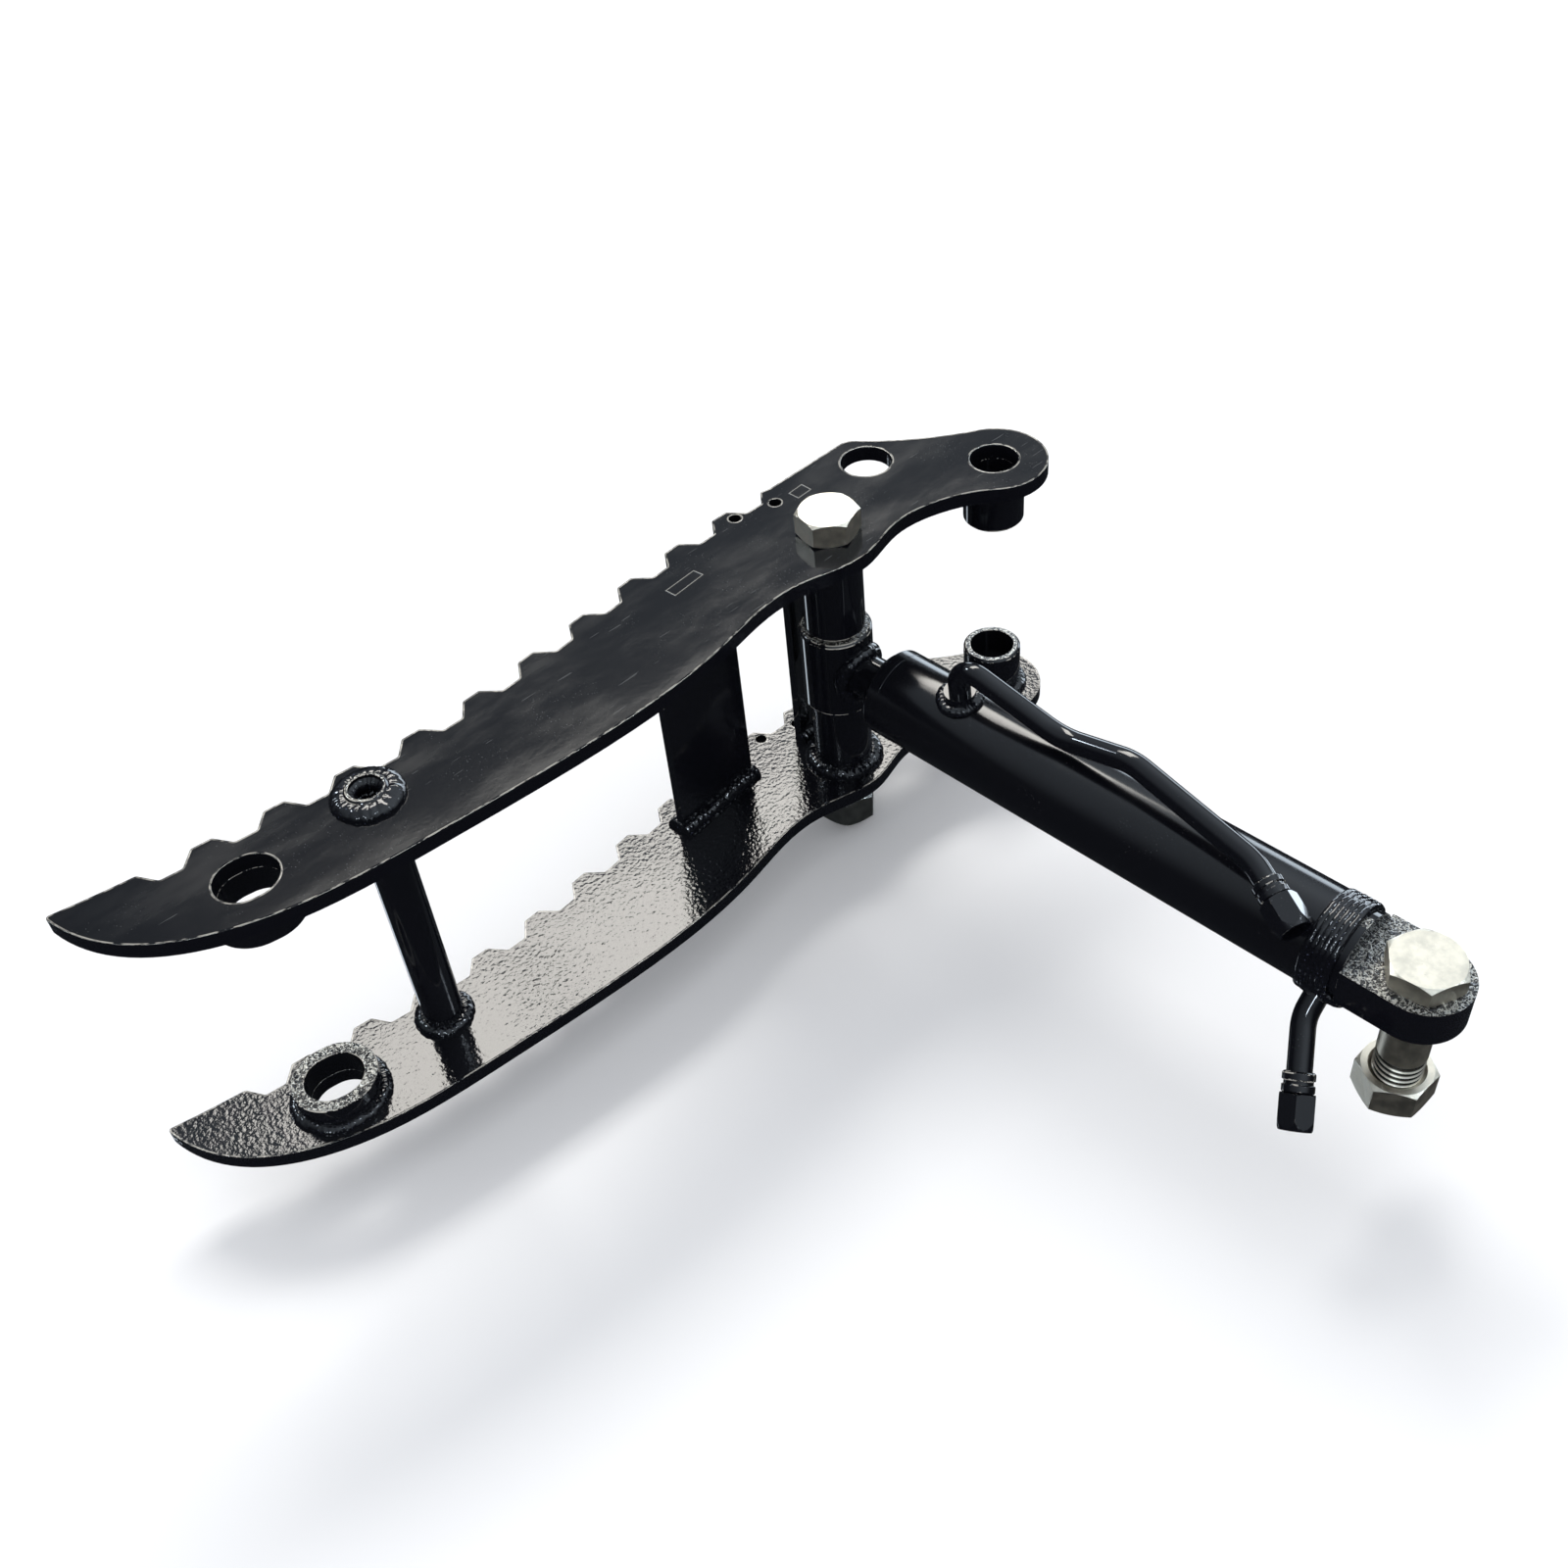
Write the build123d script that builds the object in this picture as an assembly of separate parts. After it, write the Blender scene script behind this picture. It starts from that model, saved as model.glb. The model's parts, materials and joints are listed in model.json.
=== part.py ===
from build123d import *
from math import atan2, cos, degrees, radians, sin, tan
import os

# An excavator thumb with its hydraulic cylinder, in millimetres.
# The origin is on the main pivot axis, midway between the two side plates.
# +Z runs along the pivot axes, +X from the main pivot towards the tip, and
# the cylinder leaves towards +Y. The cylinder is at rest fully retracted.

# Side plates
plate_thickness = 10.0
plate_gap = 180.0
tip_rounding = 2.0
hole_bevel = 1.0
tip = (619.0, -95.5)
# The gripping edge bows inwards between the tip and the heel.
grip_edge = [(571.0, -86.0), (495.0, -76.5), (411.0, -68.0), (284.0, -77.5), (128.0, -89.5)]
tooth_pitch = 42.0
first_gullet = 63.5
gullet_depth = 11.0
gullet_mouth = 30.0
gullet_floor = 13.0
tooth_rounding = 2.5
heel_start = (118.0, -87.0)
heel_end = (47.0, -88.5)
heel_rounding = 12.0
neck_waist = (14.0, -53.0)
pivot_end_radius = 35.0
grip_neck_angle = 236.0
back_neck_angle = 48.0
# The back edge runs from the rounded end over a low bump and a long belly to the tip.
back_edge = [(56.0, 5.5), (92.0, 0.5), (128.0, 9.0), (176.0, -0.5), (245.0, 8.0), (345.0, 14.0),
             (450.0, 6.5), (532.0, -6.5), (592.0, -39.5)]

# Holes in the side plates
link_hole = (55.5, -61.0)
link_hole_diameter = 32.0
latch_holes = [(154.0, -80.0), (125.8, -73.0)]
latch_hole_diameter = 8.0
slot_centre = (532.0, -41.0)
slot_width = 32.0
slot_stretch = 4.0
slot_angle = -10.0

# Main pivot bushes, welded inside the plates
main_bore = 30.0
bush_diameter = 40.0
bush_length = 35.0

# Tip boss rings and the open cross tube behind them
boss_wall = 8.0
boss_height = 17.0
cross_tube_centre = (454.5, -44.0)
cross_tube_diameter = 25.0
cross_tube_wall = 3.0
cross_tube_overhang = 7.0

# Flat braces between the plates, parallel to the gripping edge
brace_thickness = 6.0
brace_angle = 6.0
middle_brace_centre = (216.3, -55.2)
middle_brace_width = 69.5
pivot_brace_centre = (107.0, -61.3)
pivot_brace_width = 56.0

# Bolts and nuts: the long pivot bolt and the shorter base bolt, each with its nut run on
bolt_end_bevel = 2.0
hex_bevel_angle = 30.0
hex_half_angle = 30.0
pin_fit = 0.1
thread_fit = 0.05
seat_gap = 0.3
pivot_bolt_diameter = 24.0
pivot_bolt_flats = 36.0
pivot_head_height = 16.0
pivot_bolt_turn = 20.0
pivot_nut_height = 21.5
pivot_nut_drop = 21.5
pivot_thread_end = 7.0
pivot_nut_turn = 43.5
base_bolt_diameter = 28.0
base_bolt_flats = 39.5
base_head_height = 13.0
base_bolt_turn = 4.0
base_nut_height = 20.0
base_nut_drop = 55.0
base_thread_end = 1.0
base_nut_turn = 27.0

# Pivot of the cylinder rod
rod_pivot = (125.0, -25.5)
spacer_diameter = 40.0
tube_end_bevel = 1.5

# Hydraulic cylinder, measured along its axis from the rod pivot
cylinder_heading = 91.8
cylinder_drop = 4.0
eye_diameter = 48.0
eye_length = 60.0
rod_diameter = 30.0
barrel_diameter = 58.0
barrel_wall = 4.0
gland_start = 46.0
gland_collar = 12.0
gland_nose_bevel = 4.0
gland_length = 45.0
barrel_end = 366.0
cap_length = 23.0
base_bore_reach = 56.5
lug_radius = 27.0
lug_thickness = 24.0
spigot_length = 12.0
piston_length = 34.0
piston_stop_gap = 2.0
piston_land = 22.0
piston_nut_flats = 30.0
piston_nut_height = 14.0
slide_fit = 0.05
seal_section = 5.0
ring_section = 3.0
ring_width = 9.0

# Hydraulic lines
pipe_diameter = 14.0
pipe_bore = 10.0
port_boss_diameter = 20.0
rod_boss_height = 7.0
base_boss_height = 4.0
port_bore = 8.0
collar_diameter = 18.0
collar_length = 12.0
collar_groove = 2.5
collar_groove_depth = 1.0
union_flats = 19.0
union_length = 20.0
union_mouth = 16.0
union_mouth_depth = 9.0
union_rim = 1.0
union_nose = 5.5
rod_union_turn = 16.0
base_union_turn = 46.0
# A port's turn is measured about the cylinder's axis, from straight up towards the tip.
# The rod port lies past the gland; its pipe's heights are above the barrel's surface.
rod_port_inset = 17.5
rod_port_angle = 5.0
rod_pipe_rise = 32.0
rod_pipe_bend = 14.0
long_pipe_bend = 45.0
# Later corners and end of the rod port pipe: distance back from the barrel's end, sideways, height.
rod_pipe_corners = [(182.0, 0.0, 9.5), (132.0, 0.0, 21.0), (42.0, -14.0, 12.5)]
rod_pipe_end = (2.0, -32.5, 2.0)
# The base port lies past the barrel's end, in the cap; its pipe's end is along and out from it.
base_port_inset = 11.5
base_port_angle = 134.0
base_pipe_rise = 17.0
base_pipe_bend = 30.0
base_pipe_end = (26.0, 73.0)

# Weld beads: leg lengths
cross_tube_weld = 9.0
boss_weld = 5.0
middle_brace_weld = 8.0
pivot_brace_weld = 5.5
spacer_weld = 8.0
bush_weld = 6.0
eye_weld = 6.0
port_weld = 4.0
base_weld = 2.0
base_weld_crown = 3.0

inner_face = plate_gap / 2
outer_face = inner_face + plate_thickness
pin_bore = pivot_bolt_diameter + 2 * pin_fit
base_bore = base_bolt_diameter + 2 * pin_fit
pivot_bolt_length = 2 * outer_face + pivot_nut_drop + pivot_nut_height + pivot_thread_end
base_bolt_length = lug_thickness + base_nut_drop + base_nut_height + base_thread_end
axis_height = -cylinder_drop
eye_top = axis_height + eye_length / 2
eye_bottom = axis_height - eye_length / 2
barrel_radius = barrel_diameter / 2
barrel_bore = barrel_diameter - 2 * barrel_wall
gland_end = gland_start + gland_length
barrel_start = gland_start + gland_collar
lug_step = barrel_end + cap_length
base_bore_centre = barrel_end + base_bore_reach
rod_port_station = gland_end + rod_port_inset
base_port_station = barrel_end + base_port_inset
piston_back = barrel_end - spigot_length - piston_stop_gap
piston_front = piston_back - piston_length
cylinder_place = Location((*rod_pivot, axis_height), (0, 0, cylinder_heading))
along_x = Location((0, 0, 0), (0, 90, 0))
parts = {}


def at(centre, height=0.0, turn=0.0):
    return Location((centre[0], centre[1], height), (0, 0, turn))


def turned(outline):
    """A solid of revolution about Z from (radius, height) points."""
    profile = make_face(Polyline(*outline, close=True))
    return revolve(Plane.XZ * profile, Axis.Z)


def rod_shape(diameter, low, high):
    """A round bar along Z between two heights."""
    return Pos(0, 0, (low + high) / 2) * Cylinder(diameter / 2, high - low)


def axial(diameter, start, end):
    """A round bar along the cylinder's axis, in the cylinder's own frame."""
    return along_x * rod_shape(diameter, start, end)


def mirrored_pair(solid):
    return [solid, mirror(solid, about=Plane.XY)]


def on_circle(angle):
    return (pivot_end_radius * cos(radians(angle)), pivot_end_radius * sin(radians(angle)))


# Shapes shared by several pieces

def hex_prism(flats, low, high):
    """A hexagonal bar along Z whose corners are bevelled at both ends."""
    corner = flats / 2 / cos(radians(hex_half_angle))
    cut = (corner - flats / 2) * tan(radians(hex_bevel_angle))
    prism = extrude(Pos(0, 0, low) * RegularPolygon(corner, 6), high - low)
    cone = turned([(0, low), (flats / 2, low), (corner, low + cut),
                   (corner, high - cut), (flats / 2, high), (0, high)])
    return prism & cone


def hex_bolt(diameter, flats, head_height, length):
    """A hexagon head bolt along Z with the underside of its head at zero."""
    radius = diameter / 2
    shank = turned([(0, 0), (radius, 0), (radius, bolt_end_bevel - length),
                    (radius - bolt_end_bevel, -length), (0, -length)])
    return hex_prism(flats, 0, head_height) + shank


def hex_nut(diameter, flats, height):
    """A hexagon nut that hangs below zero, with bevelled thread mouths."""
    radius = diameter / 2 + thread_fit
    mouth = radius + bolt_end_bevel
    hole = turned([(0, 0), (mouth, 0), (radius, -bolt_end_bevel), (radius, bolt_end_bevel - height),
                   (mouth, -height), (0, -height)])
    return hex_prism(flats, -height, 0) - hole


def tube(outer, inner, low, high, bevel=0.0):
    """A round tube along Z whose outer rims may be bevelled."""
    solid = turned([(inner / 2, low), (outer / 2 - bevel, low), (outer / 2, low + bevel),
                    (outer / 2, high - bevel), (outer / 2 - bevel, high), (inner / 2, high)]) \
        if bevel else turned([(inner / 2, low), (outer / 2, low), (outer / 2, high), (inner / 2, high)])
    return solid


def fillet_ring(diameter, leg, height, up):
    """A bulging weld bead around a round bar that stands on a face at a height."""
    root = diameter / 2
    rise = leg if up else -leg
    bulge = 0.6
    profile = make_face([
        Line((root, height), (root + leg, height)),
        ThreePointArc((root + leg, height), (root + leg * bulge, height + rise * bulge), (root, height + rise)),
        Line((root, height + rise), (root, height)),
    ])
    return revolve(Plane.XZ * profile, Axis.Z)


# Side plates

def plate_outline():
    """The closed edge of a side plate before its gullets are cut."""
    grip = Spline(tip, *grip_edge)
    heel_rise = Line(grip_edge[-1], heel_start)
    heel = Line(heel_start, heel_end)
    grip_neck = on_circle(grip_neck_angle)
    back_neck = on_circle(back_neck_angle)
    neck = ThreePointArc(heel_end, neck_waist, grip_neck)
    far_side = on_circle((grip_neck_angle + back_neck_angle) / 2)
    end = ThreePointArc(grip_neck, far_side, back_neck)
    back = Spline(back_neck, *back_edge, tip)
    return grip, make_face([grip, heel_rise, heel, neck, end, back])


def gullet_gap():
    """One gap between teeth, its mouth on the line y = 0 and its flanks run out past it."""
    overrun = gullet_depth / 2
    flare = (gullet_mouth - gullet_floor) / (2 * gullet_depth)
    outer_half = gullet_mouth / 2 + overrun * flare
    floor_half = gullet_floor / 2
    return make_face(Polyline((-outer_half, -overrun), (-floor_half, gullet_depth), (floor_half, gullet_depth),
                              (outer_half, -overrun), close=True))


def slot_face(grow=0.0):
    """The oblong of the tip slot, grown outwards by a wall or a bead."""
    oblong = SlotCenterToCenter(slot_stretch, slot_width + 2 * grow)
    return Location((*slot_centre, 0), (0, 0, slot_angle)) * oblong


def plate_face():
    """The outline of a side plate with its teeth and holes."""
    grip, face = plate_outline()
    gullet_count = int((grip.length - first_gullet) // tooth_pitch) + 1
    for gullet in range(gullet_count):
        reach = first_gullet + gullet * tooth_pitch
        point = grip.position_at(reach, position_mode=PositionMode.LENGTH)
        ahead = grip.tangent_at(reach, position_mode=PositionMode.LENGTH)
        turn = degrees(atan2(-ahead.Y, -ahead.X))
        face -= Location((point.X, point.Y, 0), (0, 0, turn)) * gullet_gap()
    first_tooth = tip[0] - first_gullet + gullet_mouth
    tooth_corners = [v for v in face.vertices() if heel_start[0] < v.X < first_tooth and v.Y < -bush_diameter]
    face = fillet(tooth_corners, tooth_rounding)
    heel_corner = face.vertices().sort_by_distance((*heel_end, 0))[0]
    face = fillet(heel_corner, heel_rounding)
    tip_corner = face.vertices().sort_by_distance((*tip, 0))[0]
    return fillet(tip_corner, tip_rounding)


def bevelled_hole(diameter, bevel):
    """A hole through the upper plate that opens out at the plate's outer face."""
    radius = diameter / 2
    return turned([(0, inner_face), (radius, inner_face), (radius, outer_face - bevel),
                   (radius + bevel, outer_face), (0, outer_face)])


def side_plate():
    """The upper side plate, standing on the upper inner face."""
    plate = extrude(Pos(0, 0, inner_face) * plate_face(), plate_thickness)
    plate -= extrude(Pos(0, 0, inner_face) * slot_face(), plate_thickness)
    plate -= bevelled_hole(main_bore, hole_bevel)
    plate -= at(link_hole) * bevelled_hole(link_hole_diameter, hole_bevel)
    plate -= at(rod_pivot) * rod_shape(pin_bore, inner_face, outer_face)
    plate -= at(cross_tube_centre) * rod_shape(cross_tube_diameter, inner_face, outer_face)
    for centre in latch_holes:
        plate -= at(centre) * rod_shape(latch_hole_diameter, inner_face, outer_face)
    return plate


def add_side_plates():
    upper, lower = mirrored_pair(side_plate())
    parts["side_plate_upper"] = upper
    parts["side_plate_lower"] = lower


# What is welded between the plates

def add_tip_bosses():
    """Oblong rings on the inner faces, round the tip slots, and their weld beads."""
    ring_low = inner_face - boss_height
    ring = extrude(Pos(0, 0, ring_low) * (slot_face(boss_wall) - slot_face()), boss_height)
    upper, lower = mirrored_pair(ring)
    parts["tip_boss_upper"] = upper
    parts["tip_boss_lower"] = lower
    flare = extrude(Pos(0, 0, inner_face) * slot_face(boss_wall + boss_weld), -boss_weld, taper=45)
    flare -= extrude(Pos(0, 0, inner_face - boss_weld) * slot_face(boss_wall), boss_weld)
    parts["weld_tip_bosses"] = mirrored_pair(flare)


def add_cross_tube():
    """The open tube near the tip, through both plates and proud of their outer faces."""
    reach = outer_face + cross_tube_overhang
    bore = cross_tube_diameter - 2 * cross_tube_wall
    parts["tip_cross_tube"] = at(cross_tube_centre) * tube(cross_tube_diameter, bore, -reach, reach,
                                                           tube_end_bevel)
    outer = at(cross_tube_centre) * fillet_ring(cross_tube_diameter, cross_tube_overhang - tube_end_bevel,
                                                outer_face, True)
    inner = at(cross_tube_centre) * fillet_ring(cross_tube_diameter, cross_tube_weld, inner_face, False)
    parts["weld_cross_tube"] = mirrored_pair(outer) + mirrored_pair(inner)


def brace_place(centre):
    return Location((*centre, 0), (0, 0, brace_angle))


def add_brace(name, centre, width, leg, sides):
    """A flat brace whose front face passes through its centre, with beads where it meets the plates."""
    front = Box(width, brace_thickness, plate_gap, align=(Align.CENTER, Align.MAX, Align.CENTER))
    parts[name] = brace_place(centre) * front
    beads = []
    for side in sides:
        face = 0 if side > 0 else -brace_thickness
        section = make_face(Polyline((face, inner_face), (face + side * leg, inner_face),
                                     (face, inner_face - leg), close=True))
        bead = extrude(Plane.YZ.offset(-width / 2) * section, width)
        beads += mirrored_pair(brace_place(centre) * bead)
    parts["weld_" + name] = beads


def add_main_bushes():
    """Short bushes on the inner faces, in line with the main pivot bores."""
    low = inner_face - bush_length
    bush = tube(bush_diameter, main_bore, low, inner_face, tube_end_bevel)
    upper, lower = mirrored_pair(bush)
    parts["main_bush_upper"] = upper
    parts["main_bush_lower"] = lower
    parts["weld_main_bushes"] = mirrored_pair(fillet_ring(bush_diameter, bush_weld, inner_face, False))


def add_spacers():
    """Tubes that fill the plate gap above and below the rod eye."""
    upper = tube(spacer_diameter, pin_bore, eye_top + seat_gap, inner_face, tube_end_bevel)
    lower = tube(spacer_diameter, pin_bore, -inner_face, eye_bottom - seat_gap, tube_end_bevel)
    parts["rod_spacer_upper"] = at(rod_pivot) * upper
    parts["rod_spacer_lower"] = at(rod_pivot) * lower
    bead = at(rod_pivot) * fillet_ring(spacer_diameter, spacer_weld, inner_face, False)
    parts["weld_rod_spacers"] = mirrored_pair(bead)


def add_pivot_bolt():
    """The bolt through both plates and the rod eye, with its nut run on below."""
    bolt = hex_bolt(pivot_bolt_diameter, pivot_bolt_flats, pivot_head_height, pivot_bolt_length)
    nut = hex_nut(pivot_bolt_diameter, pivot_bolt_flats, pivot_nut_height)
    parts["pivot_bolt"] = at(rod_pivot, outer_face, pivot_bolt_turn) * bolt
    parts["pivot_nut"] = at(rod_pivot, -outer_face - pivot_nut_drop, pivot_nut_turn) * nut


# The rod with its eye and piston, in the cylinder's own frame: X along the axis

def add_rod():
    """The eye across the rod's end, the rod coped to it, and the piston on the rod's far end."""
    eye_bar = rod_shape(eye_diameter, -eye_length / 2, eye_length / 2)
    eye = tube(eye_diameter, pin_bore, -eye_length / 2, eye_length / 2, tube_end_bevel)
    parts["rod_eye"] = cylinder_place * eye
    shoulder = piston_back - piston_nut_height
    rod = axial(rod_diameter, 0, piston_front) + axial(piston_land, piston_front, piston_back) - eye_bar
    parts["piston_rod"] = cylinder_place * rod
    root = rod_diameter / 2
    start = eye_diameter / 2 * cos(radians(45))
    end = eye_diameter / 2 + eye_weld
    bead = along_x * turned([(root, start), (root + eye_weld, start), (root + eye_weld, end - eye_weld),
                             (root, end)])
    parts["weld_rod_eye"] = cylinder_place * (bead - eye_bar)
    piston = axial(barrel_bore - 2 * slide_fit, piston_front, shoulder) - axial(piston_land, piston_front, shoulder)
    middle = (piston_front + shoulder) / 2
    groove = ring_groove(barrel_bore, seal_section, middle, seal_section)
    bands = [middle - ring_width, middle + ring_width - ring_section / 2]
    piston -= groove
    for band in bands:
        piston -= ring_groove(barrel_bore, ring_section / 2, band, ring_section)
    parts["piston"] = cylinder_place * piston
    inner = barrel_bore - 2 * slide_fit
    parts["piston_seal"] = cylinder_place * (groove & axial(inner, piston_front, shoulder))
    wear = [ring_groove(barrel_bore, ring_section / 2, band, ring_section) & axial(inner, piston_front, shoulder)
            for band in bands]
    parts["piston_wear_rings"] = [cylinder_place * ring for ring in wear]
    nut = Location((shoulder, 0, 0), (0, 90, 0)) * hex_prism(piston_nut_flats, 0, piston_nut_height)
    parts["piston_nut"] = cylinder_place * (nut - axial(piston_land, shoulder, piston_back))


def ring_groove(outer, depth, centre, width):
    """A ring just inside an outer diameter, used both as a groove and as what fills it."""
    low, high = centre - width / 2, centre + width / 2
    return axial(outer, low, high) - axial(outer - 2 * depth, low, high)


def inner_groove(inner, depth, centre, width):
    """A ring just outside an inner diameter."""
    return ring_groove(inner + 2 * depth, depth, centre, width)


# The barrel with its gland and base eye

def port_place(station, turn):
    """A port's own frame: Z leads out of the barrel, square to its axis."""
    return Location((station, 0, 0), (turn, 0, 0))


rod_port_place = port_place(rod_port_station, rod_port_angle)
base_port_place = port_place(base_port_station, base_port_angle)


def add_gland():
    """The head that closes the barrel round the rod, with its seals."""
    nose = gland_start + gland_nose_bevel
    collar = along_x * turned([(0, gland_start), (barrel_radius - gland_nose_bevel, gland_start),
                               (barrel_radius, nose), (barrel_radius, barrel_start), (0, barrel_start)])
    gland = collar + axial(barrel_bore - 2 * slide_fit, barrel_start, gland_end)
    gland -= axial(rod_diameter + 2 * slide_fit, gland_start, gland_end)
    depth = (barrel_bore - rod_diameter) / 4
    wiper = inner_groove(rod_diameter + 2 * slide_fit, depth, gland_start + seal_section, seal_section)
    seal = inner_groove(rod_diameter + 2 * slide_fit, depth, gland_start + 4 * seal_section, ring_width)
    o_ring = ring_groove(barrel_bore - 2 * slide_fit, ring_section, gland_end - 3 * ring_section, ring_section)
    parts["gland_head"] = cylinder_place * (gland - wiper - seal - o_ring)
    parts["rod_wiper"] = cylinder_place * wiper
    parts["rod_seal"] = cylinder_place * seal
    parts["gland_o_ring"] = cylinder_place * o_ring


def add_barrel():
    barrel = axial(barrel_diameter, barrel_start, barrel_end) - axial(barrel_bore, barrel_start, barrel_end)
    barrel -= rod_port_place * rod_shape(port_bore, 0, barrel_diameter)
    parts["cylinder_barrel"] = cylinder_place * barrel


def add_base_eye():
    """The cap that closes the barrel, with a flat eye for the base bolt milled from its end."""
    cap = axial(barrel_bore - 2 * slide_fit, barrel_end - spigot_length, barrel_end)
    cap += axial(2 * lug_radius, barrel_end, lug_step)
    blade = make_face(Polyline((lug_step, -lug_radius), (base_bore_centre, -lug_radius),
                               (base_bore_centre, lug_radius), (lug_step, lug_radius), close=True))
    blade += Pos(base_bore_centre, 0) * Circle(lug_radius)
    cap += extrude(Pos(0, 0, -lug_thickness / 2) * blade, lug_thickness)
    cap -= Pos(base_bore_centre, 0, 0) * rod_shape(base_bore, -lug_thickness, lug_thickness)
    cap -= base_port_place * rod_shape(port_bore, 0, barrel_diameter)
    cap -= axial(port_bore, barrel_end - spigot_length, base_port_station)
    parts["base_eye"] = cylinder_place * cap
    middle = (barrel_end + lug_step - seal_section) / 2
    ring = make_face([
        Line((lug_radius, barrel_end), (lug_radius + base_weld, barrel_end)),
        ThreePointArc((lug_radius + base_weld, barrel_end), (lug_radius + base_weld_crown, middle),
                      (lug_radius, lug_step - seal_section)),
        Line((lug_radius, lug_step - seal_section), (lug_radius, barrel_end)),
    ])
    bead = along_x * revolve(Plane.XZ * ring, Axis.Z)
    bead -= base_port_place * rod_shape(port_boss_diameter + 2 * port_weld, 0, barrel_diameter)
    parts["weld_base_eye"] = cylinder_place * bead


def add_base_bolt():
    """The bolt through the base eye, with its nut run on below."""
    centre = (base_bore_centre, 0)
    bolt = hex_bolt(base_bolt_diameter, base_bolt_flats, base_head_height, base_bolt_length)
    nut = hex_nut(base_bolt_diameter, base_bolt_flats, base_nut_height)
    parts["base_bolt"] = cylinder_place * at(centre, lug_thickness / 2, base_bolt_turn) * bolt
    parts["base_nut"] = cylinder_place * at(centre, -lug_thickness / 2 - base_nut_drop, base_nut_turn) * nut


# Hydraulic lines

def swept_pipe(path):
    """A round pipe along a path, drilled through."""
    start = Plane(origin=path @ 0, z_dir=path % 0)
    outer = sweep(start * Circle(pipe_diameter / 2), path)
    return outer - sweep(start * Circle(pipe_bore / 2), path)


def coped(shape):
    """What is left of a shape outside the barrel and its end cap, short of the flat eye."""
    shape -= axial(barrel_diameter, barrel_start, barrel_end)
    shape -= axial(2 * lug_radius, barrel_end, lug_step)
    return shape - axial(4 * lug_radius, lug_step, base_bore_centre)


def add_port(name, place, carrier_radius, boss_height):
    """A round boss that stands on the cylinder, and its weld bead; the place's Z leads outwards."""
    top = carrier_radius + boss_height
    boss = rod_shape(port_boss_diameter, 0, top) - rod_shape(port_bore, 0, top)
    root = port_boss_diameter / 2
    foot = carrier_radius - port_weld
    bead = turned([(root, 0), (root + port_weld, 0), (root + port_weld, foot), (root, foot + 2 * port_weld)])
    parts[name + "_boss"] = cylinder_place * coped(place * boss)
    parts["weld_" + name] = cylinder_place * coped(place * bead)


def add_union(name, place, turn):
    """The collar and hexagon union nut on a pipe's end; the place's Z leads out of the nut's mouth."""
    low, high = -union_length - collar_length, -union_length
    rim = (collar_diameter - pipe_diameter) / 4
    bore = pipe_diameter + 2 * seat_gap
    nut = Rot(0, 0, turn) * hex_prism(union_flats, -union_length, 0)
    corner = union_flats / 2 / cos(radians(hex_half_angle))
    nut &= turned([(0, -union_length), (corner, -union_length), (corner, -union_nose),
                   (union_mouth / 2 + union_rim, 0), (0, 0)])
    nut -= rod_shape(bore, -union_length, 0) + rod_shape(union_mouth, -union_mouth_depth, 0)
    waist = ((low + high) - collar_groove) / 2, ((low + high) + collar_groove) / 2
    collar = tube(collar_diameter, pipe_diameter, low, high, rim)
    collar -= tube(collar_diameter, collar_diameter - 2 * collar_groove_depth, *waist)
    parts[name + "_collar"] = cylinder_place * place * collar
    parts[name + "_union_nut"] = cylinder_place * place * nut


def add_pipe(name, start, corners, end, bends, union_turn):
    """A pipe from the top of a port's boss through its corners to the mouth of its union nut."""
    ahead = (Vector(*end) - Vector(*corners[-1])).normalized()
    mouth = Plane(origin=end, z_dir=ahead).location
    inside = (mouth * Pos(0, 0, -union_mouth_depth)).position
    path = FilletPolyline(start, *corners, tuple(inside), radius=bends)
    parts[name + "_pipe"] = cylinder_place * swept_pipe(path)
    add_union(name, mouth, union_turn)


def out_of(port, along, reach):
    """A point of the cylinder's frame, given in a port's own frame."""
    return tuple((port * Pos(along, 0, reach)).position)


def above_barrel(corner):
    back, sideways, height = corner
    return (barrel_end - back, sideways, barrel_radius + height)


def add_rod_line():
    """The rod side line: up from its port, along the top of the barrel and off to one side."""
    add_port("rod_port", rod_port_place, barrel_radius, rod_boss_height)
    start = out_of(rod_port_place, 0, barrel_radius + rod_boss_height)
    first = out_of(rod_port_place, 0, barrel_radius + rod_pipe_rise)
    corners = [first] + [above_barrel(corner) for corner in rod_pipe_corners]
    bends = [rod_pipe_bend] + [long_pipe_bend] * len(rod_pipe_corners)
    add_pipe("rod_port", start, corners, above_barrel(rod_pipe_end), bends, rod_union_turn)


def add_base_line():
    """The base side line: a short pipe that hangs from the port in the end cap."""
    add_port("base_port", base_port_place, lug_radius, base_boss_height)
    start = out_of(base_port_place, 0, lug_radius + base_boss_height)
    corner = out_of(base_port_place, 0, lug_radius + base_pipe_rise)
    along, reach = base_pipe_end
    end = out_of(base_port_place, along, lug_radius + reach)
    add_pipe("base_port", start, [corner], end, [base_pipe_bend], base_union_turn)


def build():
    add_side_plates()
    add_tip_bosses()
    add_cross_tube()
    add_brace("middle_brace", middle_brace_centre, middle_brace_width, middle_brace_weld, (1, -1))
    add_brace("pivot_brace", pivot_brace_centre, pivot_brace_width, pivot_brace_weld, (1,))
    add_main_bushes()
    add_spacers()
    add_pivot_bolt()
    add_rod()
    add_gland()
    add_barrel()
    add_base_eye()
    add_base_bolt()
    add_rod_line()
    add_base_line()


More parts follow.
